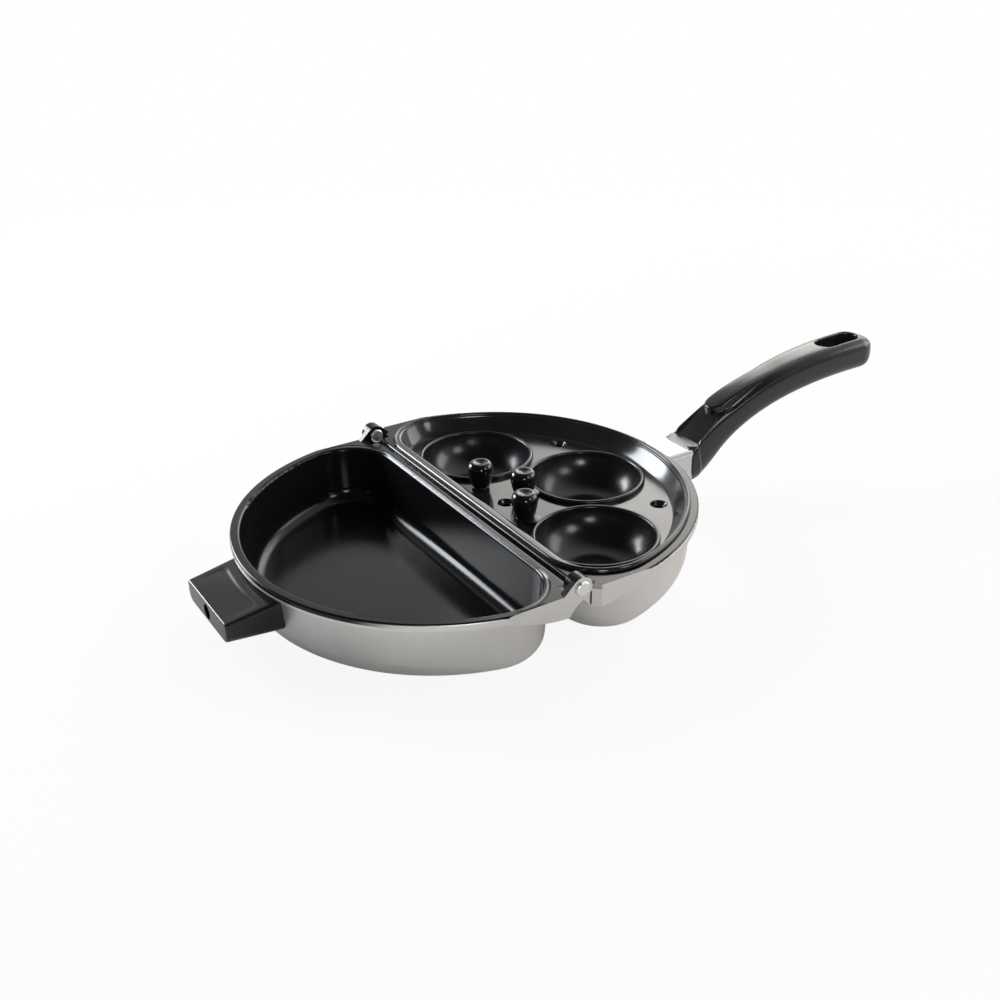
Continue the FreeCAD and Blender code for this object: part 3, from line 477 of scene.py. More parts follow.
def make_rings_group():
    """Fine turned rings about the turned Z axis through a point, as a height."""
    group, source, sink = new_group(
        "turned_rings", {"Centre": (0.0, 0.0, 0.0), "Turn": (0.0, 0.0, 0.0), "Pitch": 0.0006}, ("Height",))
    centred = vector_node(group, "SUBTRACT", object_place(group), source["Centre"])
    swung = add_node(group, "ShaderNodeMapping",
                     {"Vector": centred.outputs[0], "Rotation": source["Turn"]}, vector_type="POINT")
    flat = vector_node(group, "MULTIPLY", swung.outputs["Vector"], (1.0, 1.0, 0.0))
    radius = vector_node(group, "LENGTH", flat.outputs[0]).outputs["Value"]
    angle = product(group, math_node(group, "DIVIDE", radius, source["Pitch"]), 2.0 * math.pi)
    group.links.new(math_node(group, "SINE", angle), sink["Height"])


def new_material(name, **constants):
    """A material with plain values of its Principled shader set; gives it, its tree and the shader."""
    material = bpy.data.materials.new(name)
    material.use_nodes = True
    shader = material.node_tree.nodes["Principled BSDF"]
    for label, value in constants.items():
        shader.inputs[label.replace("_", " ")].default_value = value
    return material, material.node_tree, shader


def add_bump(tree, shader, height, distance, form=None):
    """Feeds a height into the shader's normal through a Bump node; distance is the height of 1 in metres.

    Where a form is given, it is a height in metres that the first bump lies on.
    """
    bump = add_node(tree, "ShaderNodeBump", {"Height": height, "Distance": distance})
    if form is not None:
        below = add_node(tree, "ShaderNodeBump", {"Height": form, "Distance": 1.0})
        tree.links.new(below.outputs["Normal"], bump.inputs["Normal"])
    tree.links.new(bump.outputs["Normal"], shader.inputs["Normal"])


def pan_material(name, centre, lip=None):
    """Satin cast metal outside and dark nonstick coat inside, with a base turned about a centre.

    Where a lip's place and sizes are given, that lip is rounded and rubbed smooth.
    """
    bare_rough, coat_rough, smudged, relief = (0.34, 0.42), (0.14, 0.19), 0.93, 0.000018
    look = bpy.context.scene.poacher_finishes
    material, tree, shader = new_material(name, Specular_IOR_Level=0.25, Coat_Roughness=0.12)
    cover = use_group(tree, "coat_cover", Inside=centre)
    grain = use_group(tree, "fine_grain", Scale=1300.0)
    marks = use_group(tree, "handling_marks", Scale=14.0)
    rings = use_group(tree, "turned_rings", Centre=centre)
    metal = mix_colours(tree, marks["Smudge"], rgba(look.aluminium), rgba(look.aluminium, smudged))
    coat = mix_colours(tree, grain["Fleck"], rgba(look.nonstick), rgba(look.fleck))
    tree.links.new(mix_colours(tree, cover["Mask"], metal, coat), shader.inputs["Base Color"])
    tree.links.new(less(tree, 1.0, cover["Mask"]), shader.inputs["Metallic"])
    bare = between(tree, marks["Smudge"], *bare_rough)
    coated = between(tree, marks["Smudge"], *coat_rough)
    tree.links.new(mix_values(tree, cover["Mask"], bare, coated), shader.inputs["Roughness"])
    form = None
    if lip:
        edge = use_group(tree, "lip_round", **lip)
        form = edge["Height"]
        tree.links.new(edge["Polish"], shader.inputs["Coat Weight"])
    ringed = product(tree, rings["Height"], cover["Base"])
    add_bump(tree, shader, math_node(tree, "ADD", grain["Height"], ringed), relief, form)
    return material


def enamel_material(name, colour, rough_low, rough_high, peel):
    """Dark fired coat with a faint orange-peel surface and soft handling marks in its gloss."""
    smudged = 1.5
    material, tree, shader = new_material(name)
    grain = use_group(tree, "fine_grain", Scale=420.0)
    marks = use_group(tree, "handling_marks", Scale=22.0)
    tint = mix_colours(tree, marks["Smudge"], rgba(colour), rgba(colour, smudged))
    tree.links.new(tint, shader.inputs["Base Color"])
    tree.links.new(between(tree, marks["Smudge"], rough_low, rough_high), shader.inputs["Roughness"])
    add_bump(tree, shader, grain["Height"], peel)
    return material


def metal_material(name, colour, rough_low, rough_high, centre=None):
    """Bare metal with fine scratches, and rings about the Y axis through a centre where one is given."""
    smudge_wear, worn_gain, relief = 0.6, 0.9, 0.000006
    material, tree, shader = new_material(name, Metallic=1.0)
    marks = use_group(tree, "handling_marks", Scale=60.0)
    height = use_group(tree, "fine_grain", Scale=2500.0)["Height"]
    worn = math_node(tree, "MAXIMUM", product(tree, marks["Smudge"], smudge_wear), marks["Scratch"])
    tint = mix_colours(tree, worn, rgba(colour), rgba(colour, worn_gain))
    tree.links.new(tint, shader.inputs["Base Color"])
    tree.links.new(between(tree, worn, rough_low, rough_high), shader.inputs["Roughness"])
    if centre is not None:
        rings = use_group(tree, "turned_rings", Centre=centre, Turn=(math.pi / 2.0, 0.0, 0.0), Pitch=0.0005)
        height = math_node(tree, "ADD", height, rings["Height"])
    add_bump(tree, shader, height, relief)
    return material


def dress(node, material):
    """Puts a material into the only slot of a CAD node."""
    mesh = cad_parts[node].data
    mesh.materials.clear()
    mesh.materials.append(material)


def middle_of(node):
    """Middle of a CAD node's box."""
    low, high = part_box(node)
    return (low + high) / 2.0


def grid_quads(rows, columns):
    """Corner indices of the quads between the rows and columns of a grid of points."""
    row = np.arange(rows - 1)[:, None] * columns
    column = np.arange(columns - 1)[None, :]
    first = row + column
    return np.stack([first, first + 1, first + columns + 1, first + columns], axis=-1).reshape(-1, 4)


def make_piece(name, sheets, body, material, replaced, crease=CREASE, flats=()):
    """Welds sheets of points, and flats with their own faces, into a mesh that stands for a CAD node."""
    points = np.concatenate([sheet.reshape(-1, 3) for sheet in sheets] + [flat[0] for flat in flats])
    counts = [sheet.shape[0] * sheet.shape[1] for sheet in sheets] + [len(flat[0]) for flat in flats]
    starts = np.cumsum([0] + counts[:-1])
    faces = [grid_quads(*sheet.shape[:2]) for sheet in sheets] + [flat[1] for flat in flats]
    polygons = [face for part, start in zip(faces, starts) for face in (part + start).tolist()]
    mesh = bpy.data.meshes.new(name)
    mesh.from_pydata(points.tolist(), [], polygons)
    welded = bmesh.new()
    welded.from_mesh(mesh)
    bmesh.ops.remove_doubles(welded, verts=welded.verts, dist=WELD)
    bmesh.ops.recalc_face_normals(welded, faces=welded.faces)
    welded.to_mesh(mesh)
    welded.free()
    mesh.shade_smooth()
    mesh.set_sharp_from_angle(angle=crease)
    mesh.materials.append(material)
    piece = bpy.data.objects.new(name, mesh)
    bpy.context.scene.collection.objects.link(piece)
    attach(piece, body)
    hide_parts(replaced)


def soft_step(value, low, high):
    """A smooth rise from 0 at low to 1 at high, by the cubic 3s^2 - 2s^3."""
    share = np.clip((value - low) / (high - low), 0.0, 1.0)
    return share * share * (3.0 - 2.0 * share)


def soft_min(first, second, blend):
    """The lesser of two heights, with the corner between them rounded over a blend length."""
    overlap = np.clip(0.5 + 0.5 * (second - first) / blend, 0.0, 1.0)
    return second + (first - second) * overlap - blend * overlap * (1.0 - overlap)


def bow(start, end, sag, steps):
    """Points of the circular arc from start to end that stands off its chord by a sag, on the way's right."""
    start, end = np.array(start), np.array(end)
    chord = end - start
    reach = np.hypot(*chord)
    half = 2.0 * np.arctan(2.0 * sag / reach)
    radius = reach / (2.0 * np.sin(half))
    along = chord / reach
    right = np.array([along[1], -along[0]])
    turn = np.linspace(-half, half, steps)[:, None]
    bulge = right * radius * (np.cos(turn) - np.cos(half))
    return (start + end) / 2.0 + along * radius * np.sin(turn) + bulge


def arc(centre, radius, start, end, steps):
    """Points of a circular arc about a centre between two angles in degrees."""
    turn = np.radians(np.linspace(start, end, steps))[:, None]
    return np.array(centre) + radius * np.concatenate([np.cos(turn), np.sin(turn)], axis=1)


def turned(profile, start, end, steps):
    """A profile of radius and height carried round a segment: out from its ends by the radius at each angle.

    With both ends in one place the surface is a plain turned one: x = r cos a, y = r sin a, z = height.
    """
    way = math.atan2(end.y - start.y, end.x - start.x)
    half = np.linspace(-math.pi / 2.0, math.pi / 2.0, steps)
    angle = np.concatenate([half, half + math.pi, half[:1]]) + way
    last = np.concatenate([np.ones(steps), np.zeros(steps), np.ones(1)])
    base = np.array(start)[None, :2] + last[:, None] * (np.array(end) - np.array(start))[None, :2]
    around = base[None, :, :] + profile[:, :1, None] * np.stack([np.cos(angle), np.sin(angle)], axis=-1)[None]
    height = np.broadcast_to(profile[:, 1, None, None], around.shape[:2] + (1,))
    return np.concatenate([around, height], axis=-1)


def cup_profile(cups, lip_radius, low, high):
    """Radius and height round an egg cup's wall: up the bowl, over the rolled lip, down and back under."""
    crown = high - cups.roll
    ring = lip_radius - cups.roll
    inside = ring - cups.roll
    seat = high - cups.skirt
    floor = low + cups.sheet
    root = crown - cups.sheet / 2.0
    skirt = lip_radius - cups.sheet
    bowl = bow((cups.bottom, floor), (inside, crown), cups.sag, STEPS["bowl"])
    roll = arc((ring, crown), cups.roll, 180.0, 0.0, STEPS["lip_roll"])
    hem = [(lip_radius, seat), (skirt, seat), (skirt, root)]
    under = bow((cups.bottom, low), (inside + cups.sheet, root), cups.sag, STEPS["bowl"])[::-1]
    return np.concatenate([[(0.0, floor)], bowl, roll[1:], hem, under, [(0.0, low)]])


def tab_profile(cups, top):
    """Radius and height of the knob tab's edge: flat below, rounded outside, flat above."""
    half = cups.sheet / 2.0
    edge = arc((cups.tab_half - half, top - half), half, -90.0, 90.0, STEPS["tab_edge"])
    return np.concatenate([[(0.0, top - cups.sheet)], edge, [(0.0, top)]])


def knob_profile(cups, radius, low, high):
    """Radius and height of a knob: a stem that swells by a sine, a round crown, and a cosine dish."""
    foot = radius * cups.knob_foot
    dish = radius * cups.knob_dish
    shoulder = low + (high - low) * cups.knob_shoulder
    swell = np.linspace(0.0, math.pi / 2.0, STEPS["knob"])
    out, up = np.sin(swell), swell / swell[-1]
    stem = np.stack([foot + (radius - foot) * out, low + (shoulder - low) * up], axis=1)
    crown = np.stack([dish + (radius - dish) * np.cos(swell), shoulder + (high - shoulder) * out], axis=1)
    across = np.linspace(dish, 0.0, STEPS["dish"])
    hollow = high - cups.knob_dish_depth * (1.0 + np.cos(math.pi * across / dish)) / 2.0
    return np.concatenate([[(0.0, low)], stem, crown[1:], np.stack([across, hollow], axis=1)[1:]])


def cup_middle(place, lip_radius):
    """Middle of a cup, from the sides of its box that the lip alone reaches."""
    low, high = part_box("egg_cup_" + place)
    across = {"front": low.y + lip_radius, "middle": (low.y + high.y) / 2.0, "back": high.y - lip_radius}
    return Vector((high.x - lip_radius, across[place], 0.0))


def d_curve(middle, radius, straight, corner):
    """Points round a D: an arc about the middle, two tangent corner arcs, and a straight side at a given x.

    The sizes are arrays of one length. Each entry gives one row, with its points at like places. A corner's
    middle lies its radius in from the straight, and the arc's radius less its own from the arc's middle.
    """
    inset = straight + corner - middle
    aside = np.sqrt((radius - corner) ** 2 - inset ** 2)
    turn = np.arctan2(aside, inset)[:, None]
    radius, straight, corner, aside = radius[:, None], straight[:, None], corner[:, None], aside[:, None]
    big = turn * np.linspace(-1.0, 1.0, STEPS["tray_round"])
    around = np.stack([middle + radius * np.cos(big), radius * np.sin(big)], axis=-1)
    bent = turn + (math.pi - turn) * np.linspace(0.0, 1.0, STEPS["tray_corner"])[1:]
    back = np.stack([straight + corner + corner * np.cos(bent), aside + corner * np.sin(bent)], axis=-1)
    side = aside * np.linspace(1.0, -1.0, STEPS["tray_side"])[1:]
    line = np.stack([np.broadcast_to(straight, side.shape), side], axis=-1)
    front = back[:, -2::-1] * (1.0, -1.0)
    return np.concatenate([around, back, line, front, around[:, :1]], axis=1)


def with_height(curves, heights):
    """Rows of points in the plane, each lifted to its own height."""
    rise = np.broadcast_to(np.asarray(heights)[:, None, None], curves.shape[:2] + (1,))
    return np.concatenate([curves, rise], axis=-1)


def tray_rows(tray, edge, top):
    """Inset, straight inset and height of the rows over a tray's bead, flange and wall down to its floor.

    The bead is a quarter ellipse on each side and the mouth a quarter round. What is left of the wall's depth
    at a share u of its lean is (1 - u)^bend.
    """
    flange_start = 0.6
    flange = top - tray.bead_rise
    foot = tray.bead + tray.mouth
    turn = np.linspace(0.0, math.pi, STEPS["bead"])
    bead_in = tray.bead / 2.0 * (1.0 - np.cos(turn))
    outside = edge + (top - edge) * np.sin(turn)
    bead_up = np.where(turn < math.pi / 2.0, outside, flange + tray.bead_rise * np.sin(turn))
    quarter = np.linspace(0.0, math.pi / 2.0, STEPS["mouth"])[1:]
    mouth_in = tray.bead + tray.mouth * np.sin(quarter)
    mouth_up = flange - tray.mouth * (1.0 - np.cos(quarter))
    widened = tray.flange * np.linspace(flange_start, 1.0, len(quarter))
    lean = 1.0 - np.linspace(1.0, 0.0, STEPS["tray_wall"])[1:] ** 2
    wall_up = flange - tray.mouth - (tray.depth - tray.mouth) * (1.0 - (1.0 - lean) ** tray.bend)
    level = np.append(np.zeros(len(lean)), tray.level_ring)
    lean = np.append(lean, 1.0)
    inset = np.concatenate([bead_in, mouth_in, foot + tray.slope * lean + level])
    straight_wall = foot + tray.flange + tray.straight_slope * lean + level
    straight = np.concatenate([bead_in, mouth_in + widened, straight_wall])
    return inset, straight, np.concatenate([bead_up, mouth_up, wall_up, wall_up[-1:]])


def hole_angles():
    """Angles of the points round a hole in the tray's floor."""
    return np.linspace(0.0, 2.0 * math.pi, STEPS["hole"], endpoint=False)


def flat_floor(loop, holes, height):
    """Triangles of a level floor inside a loop, less those inside round holes of given middles and radii."""
    nearest, hole_share = 1e-7, 0.999
    circle = np.stack([np.cos(hole_angles()), np.sin(hole_angles())], axis=-1)
    loops = [loop] + [middle + radius * circle for middle, radius in holes]
    starts = np.cumsum([0] + [len(ring) for ring in loops[:-1]])
    places = [np.arange(len(ring)) for ring in loops]
    edges = np.concatenate([np.stack([own, np.roll(own, -1)], axis=1) + start
                            for own, start in zip(places, starts)])
    given = [Vector(point) for point in np.concatenate(loops).tolist()]
    points, _, triangles, _, _, _ = delaunay_2d_cdt(given, edges.tolist(), [], 1, nearest)
    plane = np.array([tuple(point) for point in points])
    triangles = np.array([tuple(face) for face in triangles])
    heart = plane[triangles].mean(axis=1)
    kept = np.all([np.hypot(*(heart - middle).T) > radius * hole_share for middle, radius in holes], axis=0)
    return np.concatenate([plane, np.full((len(plane), 1), height)], axis=1), triangles[kept]


def ring_sheet(profile, x, y):
    """A profile of radius and height turned about an upright axis, at the angles of a hole's points."""
    angle = np.append(hole_angles(), 0.0)
    radius, height = profile[:, :1], profile[:, 1:]
    rise = np.broadcast_to(height, (len(profile), len(angle)))
    return np.stack([x + radius * np.cos(angle), y + radius * np.sin(angle), rise], axis=-1)


def vent_middles(tray, middle):
    """Middles of the three vents: one near the middle of the round edge and two between the cups."""
    vents = [(middle + tray.vent_inner, 0.0)]
    for turn in (-tray.vent_turn, tray.vent_turn):
        vents.append((middle + tray.vent_ring * math.cos(turn), tray.vent_ring * math.sin(turn)))
    return vents


def vent_funnel(tray, ring, top, bottom):
    """Radius and height round a vent's wall: in from its ring, down by a smooth step, and back up below."""
    fall = np.linspace(0.0, 1.0, STEPS["vent"])
    cone = tray.vent_mouth + (tray.vent_throat - tray.vent_mouth) * fall
    drop = tray.vent_depth * soft_step(fall, 0.0, 1.0)
    inside = np.stack([cone, top - drop], axis=1)
    outside = np.stack([cone + tray.sheet, bottom - drop], axis=1)[::-1]
    return np.concatenate([[(ring, top)], inside, outside, [(ring + tray.sheet, bottom)]])


def tray_sheets(tray, low, high, cups):
    """Sheets and level floors of the tray: its edge profile round a D, its cup holes and its vents."""
    radius = (high.y - low.y) / 2.0
    middle = high.x - radius
    edge = high.z - tray.bead_rise - tray.sheet
    inset, straight, height = tray_rows(tray, edge, high.z)
    over = with_height(d_curve(middle, radius - inset, low.x + straight, tray.corner - straight), height)
    wall = slice(STEPS["bead"] - 1, None)
    thickness = tray.sheet * np.linspace(0.0, 1.0, len(inset[wall]))
    inset, straight = inset[wall] - thickness, straight[wall] - thickness
    outer = d_curve(middle, radius - inset, low.x + straight, tray.corner - straight)
    under = with_height(outer, np.minimum(height[wall], edge) - thickness)
    top, bottom = height[-1], under[-1, 0, 2]
    ring = tray.vent_mouth + tray.level_ring
    vents = vent_middles(tray, middle)
    holes = [(np.array((cup.x, cup.y)), tray.cup_hole) for cup in cups]
    wide = holes + [(np.array(vent), ring) for vent in vents]
    wider = holes + [(np.array(vent), ring + tray.sheet) for vent in vents]
    flats = [flat_floor(over[-1, :-1, :2], wide, top), flat_floor(under[-1, :-1, :2], wider, bottom)]
    hem = np.array([(tray.cup_hole, top), (tray.cup_hole, bottom)])
    funnel = vent_funnel(tray, ring, top, bottom)
    sheets = [over, np.stack([over[0], under[0]]), under]
    sheets += [ring_sheet(hem, cup.x, cup.y) for cup in cups]
    sheets += [ring_sheet(funnel, *vent) for vent in vents]
    return sheets, flats


class POACHER_OT_make_tray(bpy.types.Operator):
    """Makes the pressed tray with its bead, sloping wall, cup holes and steam vents"""

    bl_idname = "poacher.make_tray"
    bl_label = "Make Tray"

    def execute(self, context):
        """Takes the tray's edge from its box and its holes from the cups' boxes."""
        look = context.scene.poacher_finishes
        enamel = enamel_material("tray_enamel", look.enamel, rough_low=0.12, rough_high=0.19, peel=0.000006)
        low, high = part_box("poacher_tray")
        low_cup, high_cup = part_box("egg_cup_middle")
        cups = [cup_middle(place, (high_cup.y - low_cup.y) / 2.0) for place in PLACES]
        sheets, flats = tray_sheets(context.scene.poacher_tray, low, high, cups)
        make_piece("tray_pressing", sheets, "tray", enamel, "poacher_tray", flats=flats)
        return {"FINISHED"}


class POACHER_OT_make_cups(bpy.types.Operator):
    """Makes the three egg cups with their rolled lips and knob tabs"""

    bl_idname = "poacher.make_cups"
    bl_label = "Make Cups"

    def execute(self, context):
        """Turns the cup's profile about its middle and runs the tab out to the knob."""
        cups = context.scene.poacher_cups
        look = context.scene.poacher_finishes
        coat = enamel_material("cup_coat", look.cup, rough_low=0.20, rough_high=0.28, peel=0.000005)
        low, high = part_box("egg_cup_middle")
        lip_radius = (high.y - low.y) / 2.0
        bowl = cup_profile(cups, lip_radius, low.z, high.z)
        tab = tab_profile(cups, high.z - cups.sheet / 4.0)
        for place in PLACES:
            middle = cup_middle(place, lip_radius)
            knob = middle_of("cup_knob_" + place)
            out = Vector((knob.x, knob.y, 0.0))
            root = middle + (out - middle).normalized() * (lip_radius + cups.tab_half - cups.sheet)
            shell = turned(bowl, middle, middle, STEPS["cup_turn"])
            arm = turned(tab, root, out, STEPS["tab_turn"])
            make_piece("cup_" + place + "_shell", [shell, arm], "cup_" + place, coat,
                       "egg_cup_" + place, CUP_CREASE)
        return {"FINISHED"}


class POACHER_OT_make_knobs(bpy.types.Operator):
    """Makes the three knobs with their swelling stems and dished crowns"""

    bl_idname = "poacher.make_knobs"
    bl_label = "Make Knobs"

    def execute(self, context):
        """Turns the knob's profile about the middle of each knob's box."""
        cups = context.scene.poacher_cups
        look = context.scene.poacher_finishes
        gloss = enamel_material("knob_plastic", look.knob, rough_low=0.06, rough_high=0.11, peel=0.000002)
        for place in PLACES:
            node = "cup_knob_" + place
            low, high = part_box(node)
            middle = (low + high) / 2.0
            profile = knob_profile(cups, (high.x - low.x) / 2.0 * cups.knob_swell, low.z, high.z)
            sheet = turned(profile, middle, middle, STEPS["knob_turn"])
            make_piece(node + "_turned", [sheet], "cup_" + place, gloss, node)
        return {"FINISHED"}


def grip_line(grip, share):
    """Middle line of the long handle, a cubic Bezier curve in the XZ plane; gives its points and slope."""
    rest = 1.0 - share
    knots = np.array([(0.0, 0.0), grip.bend, grip.crest, grip.tip])
    weights = np.stack([rest ** 3, 3.0 * share * rest ** 2, 3.0 * share ** 2 * rest, share ** 3], axis=1)
    speeds = np.stack([3.0 * rest ** 2, 6.0 * share * rest, 3.0 * share ** 2], axis=1)
    tangent = speeds @ np.diff(knots, axis=0)
    return weights @ knots, np.arctan2(tangent[:, 1], tangent[:, 0])


def along_grip(grip, front, waist, end, share):
    """A size that falls by a square to the waist and rises by a smooth step to the end."""
    before = waist + (front - waist) * np.clip(1.0 - share / grip.waist_at, 0.0, 1.0) ** 2
    return before + (end - waist) * soft_step(share, grip.waist_at, 1.0)


def grip_shares(grip, hole, closing):
    """Shares of the middle line for the rows: even, with more at the hole's round ends and at the tip."""
    fine = np.linspace(0.0, 1.0, STEPS["grip_fine"])
    reach = grip_line(grip, fine)[0][:, 0]
    rise = np.linspace(0.0, math.pi / 2.0, STEPS["grip_end"])
    nearest, digits = 0.1, 7
    before = -grip.hole_round * np.linspace(1.0, nearest, STEPS["slot_edge"])
    ends = np.concatenate([before, grip.hole_width / 2.0 * (1.0 - np.cos(rise))])
    marks = np.interp(np.concatenate([hole[0] + ends, hole[1] - ends]), reach, fine)
    tip = 1.0 - closing * (1.0 - np.sin(rise))
    even = np.linspace(0.0, 1.0, STEPS["grip"])
    return np.unique(np.round(np.concatenate([even, marks, tip]), digits))


def half_section(power):
    """Right half of a rounded section from the top's middle to the bottom's: |y|^p + |h|^p = 1."""
    flat = 0.82
    level = np.linspace(0.0, flat, STEPS["grip_top"])
    corner = np.arccos(flat ** (power / 2.0))
    turn = np.linspace(corner, -corner, STEPS["grip_side"])[1:-1]
    side = np.stack([np.cos(turn) ** (2.0 / power),
                     np.sign(turn) * np.abs(np.sin(turn)) ** (2.0 / power)], axis=1)
    low = np.linspace(flat, 0.0, STEPS["grip_under"])
    top = np.stack([level, (1.0 - level ** power) ** (1.0 / power)], axis=1)
    bottom = np.stack([low, -(1.0 - low ** power) ** (1.0 / power)], axis=1)
    return np.concatenate([top, side, bottom])


def hole_half_width(grip, hole, reach):
    """Half the width of the hang hole at each distance along the handle: a slot with round ends."""
    radius = grip.hole_width / 2.0
    past = np.clip(np.maximum(hole[0] + radius - reach, reach - hole[1] + radius), 0.0, radius)
    inside = (reach > hole[0]) & (reach < hole[1])
    return np.where(inside, np.sqrt(np.maximum(radius ** 2 - past ** 2, 0.0)), 0.0)


def rounded_drop(distance, radius):
    """Drop of a quarter-round edge at a distance in from the edge."""
    left = np.clip(radius - distance, 0.0, radius)
    return radius - np.sqrt(np.maximum(radius ** 2 - left ** 2, 0.0))


def grip_top(grip, plain, across, share, line, tilt, ledge):
    """Height of the top over the middle line: the crown cut to ledge, slope and groove, and the tongue.

    The sunk slope is a leaning plane, higher by a rail outside its width. The groove is a sine trough at a
    distance from the tongue's outline. The tongue is the crown raised by a fading rise with a quarter-round
    edge.
    """
    rail_edge, nose_run, groove_run, tongue_edge = (
        (-0.0014, 0.0006), (-0.002, 0.004), (-0.003, 0.004), (-0.0004, 0.0005))
    ledge_run, face_round, groove_start = 0.005, 0.0010, 0.0006
    reach, rise = line[:, :1], line[:, 1:]
    from_nose = reach - grip_line(grip, np.array([grip.thumb_start]))[0][0, 0]
    lean = (-math.sin(grip.slope_angle), math.cos(grip.slope_angle))
    facing = -np.sin(tilt) * lean[0] + np.cos(tilt) * lean[1]
    slope = ((ledge[0] - reach) * lean[0] + (ledge[1] - rise) * lean[1]) / facing
    face = np.maximum(slope, (ledge[1] - rise) / np.cos(tilt))
    rail = grip.slope_rail * soft_step(across - grip.slope_width / 2.0, *rail_edge)
    rail = rail * soft_step(reach - ledge[0], 0.0, ledge_run)
    before = 1.0 - soft_step(from_nose, *nose_run)
    cut = plain - (plain - soft_min(plain, face + rail, face_round)) * before
    fade = 1.0 - soft_step(share, grip.thumb_start, grip.thumb_end)
    gap = np.hypot(np.minimum(from_nose, 0.0) / np.cos(tilt), across) - grip.thumb_width / 2.0
    trough = np.sin(math.pi * np.clip((gap + groove_start) / grip.groove_width, 0.0, 1.0)) ** 2
    cut = cut - grip.groove_depth * trough * fade * soft_step(from_nose, *groove_run)
    tongue = plain + fade * (grip.thumb_rise - rounded_drop(-gap, grip.thumb_round))
    return cut + (tongue - cut) * soft_step(-gap, *tongue_edge)


def grip_hole(grip, speed):
    """Places along the handle of the two ends of its hang hole."""
    share = 1.0 - (grip.hole_margin + grip.hole_length / 2.0) / speed
    middle = grip_line(grip, np.array([share]))[0][0, 0]
    return middle - grip.hole_length / 2.0, middle + grip.hole_length / 2.0


def grip_halves(grip, share, reach, closing):
    """Half the width, half the height, and the depth of the underside along the handle, as columns.

    The width narrows behind the collar, both close at the tip by a rounded power, and the belly swells the
    underside by r e^(1 - r).
    """
    collar_edge, collar_fade, tip_power = (-0.0008, 0.0006), (0.012, 0.04), 2.2
    end = np.clip((share - 1.0 + closing) / closing, 0.0, 1.0)
    width = along_grip(grip, grip.front_width, grip.waist_width, grip.end_width, share) / 2.0
    height = along_grip(grip, grip.front_height, grip.waist_height, grip.end_height, share) / 2.0
    behind = soft_step(reach - grip.collar, *collar_edge) * (1.0 - soft_step(reach, *collar_fade))
    width = (width - grip.collar_step * behind) * np.sqrt(np.maximum(1.0 - end ** 2, 0.0))
    height = height * np.maximum(1.0 - end ** tip_power, 0.0) ** (1.0 / tip_power)
    ratio = share / grip.belly_at
    under = height + grip.belly * ratio * np.exp(1.0 - ratio)
    return width[:, None], height[:, None], under[:, None]


def grip_front(half, start, seat):
    """Rows of half the front face: down the ledge's front, back to the sleeve's end, and in to its middle."""
    lip = np.stack([half[0, :, 0], half[0, :, 1], np.minimum(half[0, :, 2], start[2] + seat)], axis=-1)
    back = np.stack([np.full(len(lip), start[0]), lip[:, 1], lip[:, 2]], axis=-1)
    heart = np.broadcast_to(np.array((start[0], 0.0, start[2])), back.shape)
    return np.stack([half[0], lip, back, heart])


def grip_sheets(grip, start, ledge_seat, screw):
    """Sheets of the long handle's right and left halves, the walls of its hang hole, and its front face.

    Each half is a function of the share along the middle line and of the place round a rounded section, which
    the hole pushes outwards. The top's height is changed by the ledge, the slope, the tongue and its groove.
    """
    pocket_edge, least_width = (-0.0003, 0.0003), 1e-9
    speed = 3.0 * math.hypot(grip.tip[0] - grip.crest[0], grip.tip[1] - grip.crest[1])
    hole = grip_hole(grip, speed)
    closing = grip.tip_round / speed
    share = grip_shares(grip, hole, closing)
    line, slope = grip_line(grip, share)
    reach, rise = line[:, :1], line[:, 1:]
    tilt = (slope * np.minimum(1.0, share / grip.upright_until))[:, None]
    width, height, under = grip_halves(grip, share, line[:, 0], closing)
    section = half_section(grip.squareness)
    slot = hole_half_width(grip, hole, reach)
    across = slot + (width - slot) * section[None, :, 0]
    level = np.clip(across / np.maximum(width, least_width), 0.0, 1.0)
    crown = (1.0 - level ** grip.squareness) ** (1.0 / grip.squareness)
    radius = grip.hole_width / 2.0
    middle = np.clip(reach, hole[0] + radius, hole[1] - radius)
    rim = rounded_drop(np.hypot(reach - middle, across) - radius, grip.hole_round)
    ledge = np.array([grip.ledge_length - grip.ledge_overlap, ledge_seat + grip.ledge_thickness])
    top = grip_top(grip, height * crown - rim, across, share[:, None], line, tilt, ledge)
    bottom = -under * crown + rim
    pocket = soft_step(grip.pocket_radius - np.hypot(reach - screw[0], across), *pocket_edge)
    bottom = bottom + (np.maximum(screw[1] - rise, bottom) - bottom) * pocket
    values = np.where(section[None, :, 1] > 0.0, top, bottom)
    on_ledge = (rise + values > ledge_seat) & (reach < grip.ledge_overlap)
    forward = np.where(on_ledge, grip.ledge_overlap - reach, 0.0)
    x = reach - values * np.sin(tilt) - forward
    z = rise + values * np.cos(tilt)
    half = np.stack([start[0] + x, across, start[2] + z], axis=-1)
    inside = np.flatnonzero(slot[:, 0] > 0.0)
    rows = np.arange(inside[0] - 1, inside[-1] + 2)
    drop = np.linspace(0.0, 1.0, STEPS["slot_wall"])[None, :, None]
    wall = half[rows, :1] + (half[rows, -1:] - half[rows, :1]) * drop
    front = grip_front(half, start, ledge_seat)
    return [sheet * (1.0, mirror, 1.0) for mirror in (1.0, -1.0) for sheet in (half, wall, front)]


